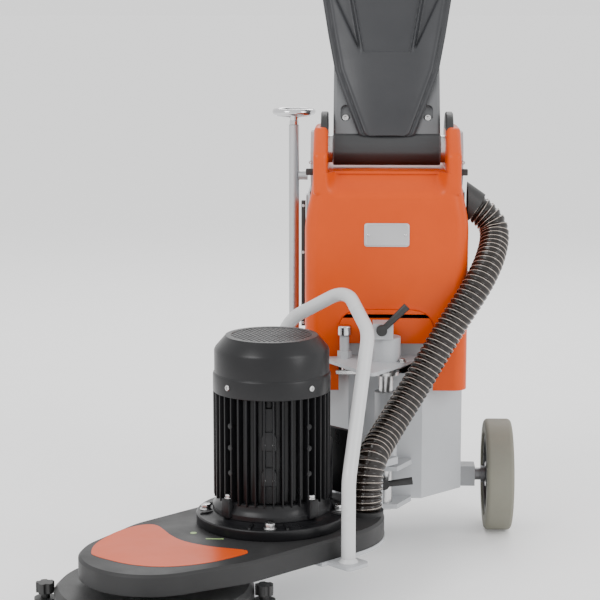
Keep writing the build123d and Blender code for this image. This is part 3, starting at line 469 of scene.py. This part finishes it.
def spline_line(points):
    """The smooth line of a NURBS spline whose control points are the route's points."""
    curve = bpy.data.curves.new("route", "CURVE")
    curve.dimensions = "3D"
    curve.resolution_u = 24
    spline = curve.splines.new("NURBS")
    spline.points.add(len(points) - 1)
    for control, point in zip(spline.points, points):
        control.co = (*point, 1)
    spline.order_u = 3
    spline.use_endpoint_u = True
    bare = bpy.data.objects.new("route", curve)
    mesh = bpy.data.meshes.new_from_object(bare)
    line = [v.co.copy() for v in mesh.vertices]
    bpy.data.meshes.remove(mesh)
    bpy.data.objects.remove(bare)
    bpy.data.curves.remove(curve)
    return line


def evenly(line, step):
    """The line with points a fixed step apart, and its length."""
    points = np.array([tuple(p) for p in line])
    along = np.concatenate([[0], np.cumsum(np.linalg.norm(np.diff(points, axis=0), axis=1))])
    at = np.linspace(0, along[-1], int(along[-1] / step) + 1)
    return np.stack([np.interp(at, along, points[:, k]) for k in range(3)], axis=1), at, float(along[-1])


HOSE_ROUTE = [
    at(153, -91, 594),
    at(179.2, -91, 575.6),
    at(188, -106, 543),
    at(164, -172, 488),
    at(104, -212, 404),
    at(52, -244, 320),
    at(-6, -304, 240),
    at(-32, -361, 206),
    at(-32, -361, 136),
]
HOSE_R = 0.025
HOSE_PITCH = 0.0098


def dust_hose():
    line = spline_line(HOSE_ROUTE)
    points, along, length = evenly(line, HOSE_PITCH / 8)
    radii = [HOSE_R - 0.0017 + 0.0014 * cos(tau * s / HOSE_PITCH) for s in along]
    hose = swept("hose_skin", points, radii, "hose", sides=48)
    # The stiffening wire runs round the crests in a spiral. Its pale colour is partly the wire's own and partly a
    # painted highlight that stands in for the glints along the hose's crests.
    fine, where, _ = evenly(line, HOSE_PITCH / 40)
    centres, side, up = frames_along(fine)
    turns = tau * where / HOSE_PITCH
    wire_and_highlight_line = centres + (HOSE_R - 0.0006) * (np.cos(turns)[:, None] * side + np.sin(turns)[:, None] * up)
    wire_and_painted_highlight = swept("hose_wire_and_painted_highlight", wire_and_highlight_line, [0.0008] * len(wire_and_highlight_line), "wire_and_painted_highlight", sides=6)
    for piece in (hose, wire_and_painted_highlight):
        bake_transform(piece)
    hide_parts("dust_hose")


dust_hose()

TERMINAL_BACK = 152.3
LEAD_ROUTE = [
    on_head(TERMINAL_BACK, 0, 240),
    on_head(TERMINAL_BACK + 23.7, 0, 240),
    at(-46, -230, 236),
    at(-40, -192, 250),
    at(-40, -162.3, 250),
]


def motor_lead():
    line = spline_line(LEAD_ROUTE)
    points, _, length = evenly(line, 0.003)
    lead = swept("motor_lead_sheath", points, [0.0045] * len(points), "lead", sides=20)
    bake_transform(lead)
    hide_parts("motor_lead")


motor_lead()

# ---------------------------------------------------------------- motor


def around_motor(angle, radius, z):
    """A point round the motor's axis; the angle is counted from +X."""
    a = radians(angle)
    return Vector((motor_centre.x + radius * cos(a) / 1000, motor_centre.y + radius * sin(a) / 1000, z / 1000))


def outward(angle):
    return Vector((cos(radians(angle)), sin(radians(angle)), 0))


def sideways(away):
    """The level direction a quarter turn on from an outward one."""
    return Vector((-away.y, away.x, 0))


def socket_screw(name, place, axis, radius, height, body, finish="steel"):
    """A round screw head with a hexagonal socket."""
    profile = [(0, 0), (0, radius), (height * 0.7, radius), (height, radius * 0.82), (height, radius * 0.5),
               (height * 0.4, radius * 0.45), (height * 0.4, 0)]
    return lathe(name, place, axis, profile, finish, body, steps=24)


def hex_bolt(name, place, axis, radius, height, body, finish="steel"):
    """A hexagon head with an eased top on a washer."""
    axis = Vector(axis).normalized()
    side = axis.orthogonal().normalized()
    other = axis.cross(side)
    outline = [(radius * cos(tau * k / 6), radius * sin(tau * k / 6)) for k in range(6)]
    head = prism(name + "_head", outline, Vector(place) + axis * 0.0015, side, other, height, finish, None, 0.6)
    washer = prism(name + "_washer", circle(radius * 1.25, 28), place, side, other, 1.5, finish, None, 0.3)
    return joined(name, [head, washer], body)


FIN_STEP = 9
BODY_LOW, BODY_HIGH = 172, 341


def motor_body():
    outline = []
    for k in range(360 // FIN_STEP):
        angle = 270 + FIN_STEP * (k + 0.5)
        reach = 92.3
        for turn, radius in ((-3.2, 79), (-1.05, 80.5), (-0.75, reach), (0.75, reach), (1.05, 80.5), (3.2, 79)):
            a = radians(angle + turn)
            outline.append((radius * cos(a), radius * sin(a)))
    origin = Vector((motor_centre.x, motor_centre.y, BODY_LOW / 1000))
    parts = [prism("fins", outline, origin, (1, 0, 0), (0, 1, 0), BODY_HIGH - BODY_LOW, "motor", None, 0.5)]
    # Flat pads with small lugs on the front and the two sides.
    for angle in (270, 0, 180):
        away = outward(angle)
        across = sideways(away)
        pad = [(-11, 0), (11, 0), (9, 150), (-9, 150)]
        parts.append(prism("pad", pad, around_motor(angle, 78, 178), across, UP, 7, "motor", None, 1.2))
        for z in (206, 262):
            lug = [(-12, 0), (12, 0), (12, 20), (7, 30), (-7, 30), (-12, 20)]
            parts.append(prism("lug", lug, around_motor(angle, 80, z), across, UP, 9, "motor", None, 1.5))
    # Rows of casting marks either side of the front.
    for angle in (228, 312):
        for z in (222, 262, 296):
            away = outward(angle)
            across = sideways(away)
            parts.append(prism("mark", circle(4.5, 20), around_motor(angle, 84, z), across, UP, 8, "motor", None, 1))
    # Lower end shield with four lugs.
    shield = lathe(
        "end_shield",
        (motor_centre.x, motor_centre.y, 0),
        UP,
        [(150.2, 12.1), (150.2, 94), (158, 94), (163, 90), (168, 88.5), (174, 88.5), (176, 86), (176, 12.1)],
        "motor",
        "head",
    )
    for angle in (45, 135, 225, 315):
        away = outward(angle)
        across = sideways(away)
        lug = [(-10, 0), (10, 0), (8, 30), (-8, 30)]
        parts.append(prism("shield_lug", lug, around_motor(angle, 84, 151), across, UP, 15, "motor", None, 2))
        hex_bolt(f"shield_bolt_{angle}", around_motor(angle, 91, 181), UP, 5, 5, "head")
    body = joined("motor_finned_body", parts, "head")
    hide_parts("motor_body")
    for z in (216, 272):
        for side in (-7, 7):
            place = around_motor(270, 89, z) + Vector((side / 1000, 0, 0))
            socket_screw(f"lug_screw_{z}_{side + 7}", place, (0, -1, 0), 1.6, 1.5, "head")


motor_body()

COWL_LOW = 341
GRILLE_R = 72.5
CELL = 8.2


def fan_cowl():
    base = (motor_centre.x, motor_centre.y, 0)
    profile = [
        (COWL_LOW + 1, 89.5), (COWL_LOW, 90.5), (COWL_LOW, 92.4), (COWL_LOW + 3, 92.5), (367, 92.5), (369.5, 91.6),
        (370.5, 90.3), (405, 90.3), (409.5, 88.2), (424, 75.5), (426.5, 73.2), (427.6, GRILLE_R),
        (427.6, GRILLE_R - 9), (426.4, GRILLE_R - 9),
    ]
    shell = lathe("cowl_shell", base, UP, profile, "cowl", "head", steps=128)
    verts, faces = [], []
    rows = int(GRILLE_R / CELL) + 2
    for row in range(-rows, rows + 1):
        for column in range(-rows, rows + 1):
            x = CELL * (column + 0.5 * (row % 2))
            y = CELL * row * 0.8660254
            if x * x + y * y > (GRILLE_R - 5.5) ** 2:
                continue
            start = len(verts)
            for k in range(12):
                a = tau * (k + 0.5) / 12 + tau / 24
                corner = CELL / 2 / cos((a - tau / 12) % (tau / 6) - tau / 12)
                verts.append(Vector((x + corner * cos(a), y + corner * sin(a), 0)))
            for depth in (0, -1.4):
                for k in range(12):
                    a = tau * (k + 0.5) / 12 + tau / 24
                    verts.append(Vector((x + CELL * 0.33 * cos(a), y + CELL * 0.33 * sin(a), depth)))
            for k in range(12):
                n = (k + 1) % 12
                faces.append((start + k, start + n, start + 12 + n, start + 12 + k))
                faces.append((start + 12 + k, start + 12 + n, start + 24 + n, start + 24 + k))
    centre = Vector((motor_centre.x, motor_centre.y, 0.4272))
    grille = new_object("cowl_grille", [centre + v / 1000 for v in verts], faces, "cowl", "head", smooth=False)
    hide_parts("fan_cowl")
    for angle in (45, 135, 226, 314):
        socket_screw(f"cowl_screw_{angle}", around_motor(angle, 92.3, 356), outward(angle), 4.6, 2.6, "head")


fan_cowl()


def motor_flange():
    profile = [
        (128.1, 46), (128.1, 119), (130, 120), (143, 120), (144.8, 118.5), (145.2, 104), (147, 98), (149.6, 94),
        (150, 92), (150, 12.1),
    ]
    flange = lathe("motor_flange_casting", (motor_centre.x, motor_centre.y, 0), UP, profile, "motor", "head", 128)
    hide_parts("motor_flange")
    for angle in (1, 91, 181, 271):
        for side in (-24, 24):
            away = outward(angle + side * 0.62)
            across = sideways(away)
            rib = [(0, 0), (22, 0), (19, 3), (0, 5)]
            prism(f"flange_rib_{angle}_{side + 24}", rib, around_motor(angle + side * 0.62, 95, 144.6), away, UP, 4,
                  "motor", "head", 0.8)
        bolt = hex_bolt(f"flange_bolt_{angle}", around_motor(angle, 105, 145.1), UP, 8, 7.5, "head")
        if angle == 1:
            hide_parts("motor_bolts")


motor_flange()


def terminal_box():
    """Black box behind the motor with a lid, lid screws and a cable gland."""
    outline = [(-46, 0), (46, 0), (46, 106), (-46, 106)]
    body = prism("terminal_body", outline, on_head(92.6, 0, 150.6), -HEAD_SIDE, UP, -50, "motor", None, 5)
    lid = prism("terminal_lid", [(-48, -1), (48, -1), (48, 107), (-48, 107)], on_head(143, 0, 150.6), -HEAD_SIDE, UP,
                -8, "motor", None, 3)
    box = joined("terminal_box_body", [body, lid], "head")
    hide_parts("terminal_box")
    for side in (-40, 40):
        for z in (160, 248):
            socket_screw(f"terminal_screw_{side + 40}_{z}", on_head(151, side, z), HEAD_BACK, 3.5, 2, "head")
    lathe("terminal_gland", on_head(150.6, 0, 240), HEAD_BACK,
          [(0, 0), (0, 9), (3, 9), (3.4, 7.6), (9, 7.2), (11, 5.4), (11, 4.7)], "black", "head", 32)


terminal_box()

# ---------------------------------------------------------------- cover


def rounded(points, radii, steps=7):
    """A closed outline whose corners are replaced by arcs."""
    shape = []
    count = len(points)
    for k, radius in enumerate(radii):
        here = Vector(points[k])
        back, ahead = Vector(points[k - 1]) - here, Vector(points[(k + 1) % count]) - here
        if not radius:
            shape.append(tuple(here))
            continue
        start, end = here + back.normalized() * radius, here + ahead.normalized() * radius
        for step in range(steps + 1):
            t = step / steps
            shape.append(tuple(start * (1 - t) ** 2 + here * 2 * t * (1 - t) + end * t * t))
    return shape


X_DIR, Y_DIR = Vector((1, 0, 0)), Vector((0, 1, 0))


def ease(value):
    value = np.clip(value, 0, 1)
    return value * value * (3 - 2 * value)


def front_cover():
    """Moulded cover: a softly rounded front, two ears beside the hinge and a shelf under the handle."""
    heights = np.concatenate([np.arange(290, 374, 4.2), np.arange(374, 600, 6), np.arange(600, 660.1, 2)])
    front_u = np.linspace(-1, 1, 131)
    sides_y = [40, 0, -60, -110]
    rows = []
    for z in heights:
        half = 138 - 14 * ease((z - 560) / 100)
        row = [(-half, y, z) for y in sides_y]
        for k, u in enumerate(front_u):
            # The columns bunch up at the rounded vertical edges and meet the cut-out's sides exactly.
            x = half * (u + 0.10 * np.sin(np.pi * u) * 0.5)
            gap = half - abs(x)
            turn = max(0.0, 24 - gap) / 24
            y = -170 + 24 * (1 - (1 - turn**2) ** 0.5)
            scoop = 34 * ease((104 - abs(x)) / 22) * ease((z - 616) / 44)
            row.append((x, y + scoop, z))
        row += [(half, y, z) for y in reversed(sides_y)]
        rows.append(row)
    columns = len(rows[0])
    grid = np.array(rows)
    corner = np.array([54.0, 348.0])

    def cut_away(x, z):
        """True inside the round-cornered cut-out at the bottom."""
        if abs(x) > 80 or z > 374:
            return False
        if abs(x) > corner[0] and z > corner[1]:
            return np.hypot(abs(x) - corner[0], z - corner[1]) < 26
        return True

    kept, gone = [], []
    for i in range(len(rows) - 1):
        for j in range(columns - 1):
            face = (i * columns + j, i * columns + j + 1, (i + 1) * columns + j + 1, (i + 1) * columns + j)
            mean = grid[i : i + 2, j : j + 2].reshape(-1, 3).mean(axis=0)
            (gone if mean[1] < -100 and cut_away(mean[0], mean[2]) else kept).append(face)
    points = grid.reshape(-1, 3)
    border = {v for f in kept for v in f} & {v for f in gone for v in f}
    for v in border:
        x, y, z = points[v]
        sign = 1 if x > 0 else -1
        if z > corner[1] and abs(x) > corner[0]:
            away = np.array([abs(x) - corner[0], z - corner[1]])
            away *= 26 / np.linalg.norm(away)
            points[v] = (sign * (corner[0] + away[0]), y, corner[1] + away[1])
        elif z > corner[1]:
            points[v] = (x, y, 374)
        else:
            points[v] = (sign * 80, y, z)
    shell = new_object("cover_front", [at(*p) for p in points], kept, "cover")
    thick = shell.modifiers.new("thickness", "SOLIDIFY")
    thick.thickness = 0.004
    thick.offset = -1
    done = bpy.data.meshes.new_from_object(shell.evaluated_get(bpy.context.evaluated_depsgraph_get()))
    shell.modifiers.clear()
    shell.data = done
    done.shade_smooth()
    sharpen(shell, 50)
    shelf = [(-140, 655.5), (-140, 660), (40, 660), (40, 655.5)]
    parts = [shell, prism("shelf", shelf, at(-104, 0, 0), Y_DIR, UP, 208, "cover", None, 0.5)]
    ear_side = [(-169.5, 620), (-169.5, 690), (-112, 733), (-20, 733), (40, 640), (40, 620)]
    for sign in (-1, 1):
        low = -124 if sign < 0 else 100
        ear = prism("ear", ear_side, at(low, 0, 0), Y_DIR, UP, 24, "cover", None)
        parts.append(bevelled(ear, 0.008, segments=6))
    arch = [(-80, 372), (-80, 410), (-58, 429), (58, 429), (80, 410), (80, 372)]
    parts.append(bevelled(
        prism("arch", rounded(arch, [0, 16, 18, 18, 16, 0]), at(0, -166, 0), X_DIR, UP, 9, "cover", None), 0.006, 5))
    cover = joined("cover_moulding", parts, "chassis")
    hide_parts("front_cover")


front_cover()


# A plain blank plate with a raised rim and two rivets.
plate_face = at(0, -170.1, 556)
plate_outline = rounded([(-38, -20), (38, -20), (38, 20), (-38, 20)], [6] * 4)
blank = prism("blank_base", plate_outline, plate_face, X_DIR, UP, 1.2, "alu", None, 0.4)
rim_outline = rounded([(-36, -18), (36, -18), (36, 18), (-36, 18)], [5] * 4)
rim_count = len(rim_outline)
rim_verts = []
for grow, out in ((0, 1.1), (0.4, 1.75), (1.4, 1.75), (1.8, 1.1)):
    for x, z in rim_outline:
        rim_verts.append(plate_face + (X_DIR * x * (1 - grow / 38) + UP * z * (1 - grow / 20) - Y_DIR * out) / 1000)
rim_faces = [
    (ring * rim_count + k, ring * rim_count + (k + 1) % rim_count,
     (ring + 1) * rim_count + (k + 1) % rim_count, (ring + 1) * rim_count + k)
    for ring in range(3) for k in range(rim_count)
]
blank_rim = new_object("blank_rim", rim_verts, rim_faces, "alu")
badge = joined("badge_plate", [blank, blank_rim], "chassis")
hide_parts("badge")
for x in (-31, 31):
    rivet = lathe(f"badge_rivet_{x}", plate_face + X_DIR * x / 1000 - Y_DIR * 0.0011, (0, -1, 0),
                  [(0, 0), (0, 2.5), (0.7, 2.2), (1.3, 1.2), (1.4, 0)], "chrome", "chassis", 24)

# Dark strip down the left side of the cover with small screws, and clips near the top of each side.
prism("side_strip", rounded([(-124, 392), (-124, 608), (-108, 608), (-108, 392)], [3] * 4), at(-145, 0, 0),
              Y_DIR, UP, 7, "black", "chassis", 0.8)
for z in (398, 428, 520, 600):
    socket_screw(f"strip_screw_{z}", at(-141.5, -124, z), (0, -1, 0), 2.6, 1.6, "chassis")
for sign in (-1, 1):
    prism(f"ear_clamp_{sign + 1}", rounded([(-7, 0), (7, 0), (7, 11), (-7, 11)], [2] * 4), at(sign * 131, -96, 650),
          X_DIR, UP, 10, "black", "chassis", 1)
    socket_screw(f"plate_screw_{sign + 1}", at(sign * 130.4, -104.3, 672), (0, -1, 0), 3, 1.6, "chassis")

# ---------------------------------------------------------------- handle


def handle_fairing():
    """Smooth dished fairing with a raised double rim and a sunken middle panel."""
    along = np.linspace(12, 400, 150)
    u = np.linspace(-1, 1, 141)
    half = np.interp(along, [12, 60, 134, 200, 270, 340, 400], [47, 64, 90, 102, 113, 119, 121])
    lift = np.interp(along, [12, 60, 150, 290, 400], [8, 13, 24, 33, 30])
    low_corner = np.clip(6 - (along - 12), 0, 6)
    half = half - 6 + np.sqrt(36 - low_corner**2)
    high_corner = np.clip(10 - (400 - along), 0, 10)
    half = half - 10 + np.sqrt(100 - high_corner**2)
    across = half[:, None] * u[None, :]
    size = np.abs(u)[None, :]
    out = 22 + lift[:, None] * (1 - 0.62 * size**2.6)
    edge = half[:, None] - np.abs(across)
    out += 1.8 * np.exp(-(((edge - 3.5) / 2.0) ** 2)) - 1.6 * np.exp(-(((edge - 8.5) / 1.5) ** 2))
    out += 1.0 * np.exp(-(((edge - 13.0) / 2.2) ** 2))
    panel = 41 + np.clip(along - 163, 0, None) * 0.17
    inside = panel[:, None] - np.abs(across)
    start = ease((along - 160) / 6)[:, None] * ease((392 - along) / 8)[:, None]
    out -= 5.0 * ease((inside + 1.5) / 3.0) * start
    wedge = 0.24 * np.clip(along - 158, 0, 160)[:, None]
    out -= 8.0 * ease((-inside - 3) / 4) * ease((wedge + 8 + inside) / 7) * ease(wedge / 6)
    out += 1.2 * np.exp(-(((inside + 2) / 2.2) ** 2)) * ease(wedge / 6)
    verts, faces = [], []
    rows, columns = across.shape
    for back in (0, 1):
        for i in range(rows):
            for j in range(columns):
                depth = out[i, j] if not back else max(min(out[i, j] - 3.5, 60), 21.6)
                verts.append(on_handle(across[i, j], along[i], depth))
    offset = rows * columns
    for i in range(rows - 1):
        for j in range(columns - 1):
            a = i * columns + j
            faces.append((a, a + 1, a + columns + 1, a + columns))
            b = a + offset
            faces.append((b, b + columns, b + columns + 1, b + 1))
    border = [j for j in range(columns)] + [i * columns + columns - 1 for i in range(1, rows)]
    border += [(rows - 1) * columns + j for j in range(columns - 2, -1, -1)]
    border += [i * columns for i in range(rows - 2, 0, -1)]
    for k, a in enumerate(border):
        b = border[(k + 1) % len(border)]
        faces.append((b, a, a + offset, b + offset))
    fairing = new_object("handle_fairing", verts, faces, "graphite")
    sharpen(fairing, 50)
    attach(fairing, "handle")
    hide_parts("handle_shield")


handle_fairing()

HINGE_AXIS = Vector((1, 0, 0))
barrel = lathe("barrel_sleeve", hinge - HINGE_AXIS * 0.0918, HINGE_AXIS,
               [(0, 13), (0, 26), (2, 28.3), (181.6, 28.3), (183.6, 26), (183.6, 13)], "barrel", "handle", 96)
for sign in (-1, 1):
    socket_screw(f"base_screw_{sign + 1}", on_handle(sign * 71, 50, 14.6), handle_front, 6.4, 4.5, "handle")
    lathe(f"friction_disc_{sign + 1}", hinge + HINGE_AXIS * sign * 0.1002, (sign, 0, 0),
          [(0, 12.2), (0, 62), (1.5, 64), (11, 64), (12.5, 62), (12.5, 12.2)], "black", "chassis", 72)
    # Raised rings round each grip.
    far = on_handle(sign * 205, 436, -43)
    for k in range(9):
        lathe(f"grip_rib_{sign + 1}_{k}", far - handle_front * (0.008 + 0.0105 * k), -handle_front,
              [(0, 16.6), (0.6, 17.8), (4.6, 17.8), (5.2, 16.6)], "rubber", "handle", 40)

# ---------------------------------------------------------------- deck


def deck_plate(name, outline, finish, z=0.4):
    """A thin label lying on the deck, drawn along the head's length and to its right."""
    top = [on_head(a, s, DECK_TOP + z) for a, s in outline]
    base = [on_head(a, s, DECK_TOP + 0.02) for a, s in outline]
    count = len(top)
    faces = [tuple(range(count)), tuple(range(count, 2 * count))[::-1]]
    faces += [(k, k + count, (k + 1) % count + count, (k + 1) % count) for k in range(count)]
    piece = new_object(name, top + base, faces, finish, smooth=False)
    face_out(piece)
    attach(piece, "head")


DECK_TOP = 128
LABEL = [
    (-312, -62), (-281, -92), (-228, -117), (-186, -124), (-160, -118), (-152, -103), (-158, -80), (-170, -46),
    (-175, -8), (-164, 38), (-140, 84), (-141, 97), (-154, 103), (-205, 99), (-245, 86), (-275, 67), (-296, 42),
    (-309, 12), (-315, -20), (-317, -45),
]
smooth_label = []
for k, here in enumerate(LABEL):
    p0, p1, p2, p3 = (Vector(LABEL[(k + d) % len(LABEL)]) for d in (-1, 0, 1, 2))
    for t in (0, 0.25, 0.5, 0.75):
        smooth_label.append(tuple(0.5 * (2 * p1 + (p2 - p0) * t + (2 * p0 - 5 * p1 + 4 * p2 - p3) * t * t
                                         + (3 * p1 - p0 - 3 * p2 + p3) * t**3)))
deck_plate("deck_label", smooth_label, "label")
deck_plate("deck_dot", [(a - 137, s - 32) for a, s in circle(5, 28)], "pale_green")
bar = [Vector((-143, 4)), Vector((-124, 24))]
bar_side = (bar[1] - bar[0]).orthogonal().normalized() * 1.8
deck_plate("deck_bar", [bar[0] - bar_side, bar[1] - bar_side, bar[1] + bar_side, bar[0] + bar_side], "pale_green")

# ---------------------------------------------------------------- rear of the tub


TUB_BACK = 100
PANEL_LOW, PANEL_HALF, PANEL_HIGH = 168, 108, 236  # bottom, half width and height
LOUVRES, LOUVRE_LOW, LOUVRE_STEP = 7, 218, 20
LOUVRE_HALF, LOUVRE_END = 60, 6


def rear_panel():
    """A screwed service panel with pressed louvres on the back of the tub, below the two sockets."""
    corners = [(-PANEL_HALF, 0), (PANEL_HALF, 0), (PANEL_HALF, PANEL_HIGH), (-PANEL_HALF, PANEL_HIGH)]
    outline = rounded(corners, [6] * 4)
    parts = [prism("panel", outline, at(0, TUB_BACK, PANEL_LOW), -X_DIR, UP, 1.6, "sheet", None, 0.5)]
    for k in range(LOUVRES):
        z = LOUVRE_LOW + LOUVRE_STEP * k
        louvre = []
        for x in np.linspace(-LOUVRE_HALF, LOUVRE_HALF, 25):
            width = max(0.0, 1 - max(0.0, abs(x) - LOUVRE_HALF + LOUVRE_END) / LOUVRE_END) ** 0.5
            louvre.append([(x, 101.4, z), (x, 101.6 + 3.2 * width, z + 1.2), (x, 101.6 + 2.9 * width, z + 4),
                           (x, 101.4, z + 12)])
        verts = [at(*point) for row in louvre for point in row]
        faces = [(4 * i + j, 4 * i + 4 + j, 4 * i + 5 + j, 4 * i + 1 + j) for i in range(24) for j in range(3)]
        faces += [(4 * i + 3, 4 * i + 7, 4 * i + 4, 4 * i) for i in range(24)]
        faces += [(0, 1, 2, 3), (99, 98, 97, 96)]
        hood = new_object("louvre", verts, faces, "sheet")
        face_out(hood)
        sharpen(hood, 40)
        parts.append(hood)
    panel = joined("rear_panel", parts, "chassis")
    for x in (-98, 0, 98):
        for z in (178, 394):
            socket_screw(f"panel_screw_{x}_{z}", at(x, 101.6, z), Y_DIR, 4.2, 2.4, "chassis")


rear_panel()

# ---------------------------------------------------------------- hoop feet, wheels and pivot

for along, side in ((5, 165), (62, -165)):
    lathe(f"hoop_weld_{along}", on_head(along, side, 96.1), UP,
          [(0, 15.5), (1.4, 14.6), (3.4, 12.4), (5.4, 11.1)], "tube_grey", "head", 40)

for sign, body in ((-1, "wheel_left"), (1, "wheel_right")):
    hub = middle("wheel_tyre_left" if sign < 0 else "wheel_tyre_right")
    axis = Vector((sign, 0, 0))
    seam = lathe(f"tyre_seam_{body}", hub - axis * 0.0007, axis, [(0, 99.0), (0, 99.95), (1.4, 99.95), (1.4, 99.0)],
                 "tyre_seam", body, 128)
    cap = lathe(f"hub_cap_{body}", hub + axis * 0.0211, axis,
                [(0, 21), (0.9, 20.4), (0.9, 16.2), (0, 15.6)], "dark_steel", body, 48)
    for k in range(5):
        a = tau * k / 5
        spot = hub + axis * 0.0051 + Vector((0, cos(a), sin(a))) * 0.048
        socket_screw(f"rim_screw_{body}_{k}", spot, axis, 4.2, 3, body)

for x, y in ((-34, -238), (26, -226)):
    hex_bolt(f"plate_bolt_{x}", at(x, y, 350.2), UP, 5.5, 4.5, "chassis")
lathe("plate_mark", at(30, -196, 350.2), UP, [(0, 0), (0, 5.5), (0.5, 5.2), (0.5, 0)], "tube_grey", "chassis", 28)
lathe("column_cap", at(0, -208, 384.2), UP, [(0, 0), (0, 11.8), (1.6, 11.2), (2.2, 9), (2.2, 0)], "steel", "head", 40)

# ---------------------------------------------------------------- floor, light and camera


FLOOR_REACH = 400.0
FLOOR_GLOW = 0.12  # brings the far floor up to the brightness of the sky


def studio():
    floor_mesh = bpy.data.meshes.new("floor")
    build = bmesh.new()
    corners = [build.verts.new((x * FLOOR_REACH, y * FLOOR_REACH, 0)) for x, y in ((-1, -1), (1, -1), (1, 1), (-1, 1))]
    build.faces.new(corners)
    build.to_mesh(floor_mesh)
    build.free()
    floor = bpy.data.objects.new("floor", floor_mesh)
    bpy.context.scene.collection.objects.link(floor)
    floor.data.materials.append(
        material("studio_floor", (0.93, 0.93, 0.93), (0.91, 0.91, 0.91), (0.7, 0.8), grain=(5, 0.0), bevel=0)
    )
    floor_shader = floor.data.materials[0].node_tree.nodes["Principled BSDF"]
    floor_shader.inputs["Emission Color"].default_value = (1, 1, 1, 1)
    floor_shader.inputs["Emission Strength"].default_value = FLOOR_GLOW

    world = bpy.data.worlds.new("studio")
    bpy.context.scene.world = world
    world.use_nodes = True
    world.node_tree.nodes["Background"].inputs["Color"].default_value = (1, 1, 1, 1)
    world.node_tree.nodes["Background"].inputs["Strength"].default_value = 1.35

    def lamp(name, place, aim, size, power, colour=(1, 1, 1)):
        light = bpy.data.lights.new(name, "AREA")
        light.shape = "RECTANGLE"
        light.size, light.size_y = size
        light.energy = power
        light.color = colour
        shown = bpy.data.objects.new(name, light)
        shown.location = place
        shown.rotation_euler = (Vector(aim) - Vector(place)).to_track_quat("-Z", "Y").to_euler()
        bpy.context.scene.collection.objects.link(shown)

    lamp("key", (-1.9, -2.0, 2.7), (0.2, 0.3, 0.4), (1.4, 1.4), 55)
    lamp("fill", (2.9, -1.5, 1.8), (0.2, 0.3, 0.5), (1.2, 2.2), 38)
    lamp("rim", (0.6, 3.2, 2.6), (0.2, 0.3, 0.6), (2.2, 1.2), 40)

    camera = bpy.data.cameras.new("view")
    camera.lens = 105
    camera.sensor_width = 36
    camera.clip_end = 900
    shown = bpy.data.objects.new("view", camera)
    shown.location = (0.3062, -2.5124, 0.926)
    shown.rotation_euler = (radians(90 - 9.37), 0, radians(2))
    bpy.context.scene.collection.objects.link(shown)
    bpy.context.scene.camera = shown


studio()
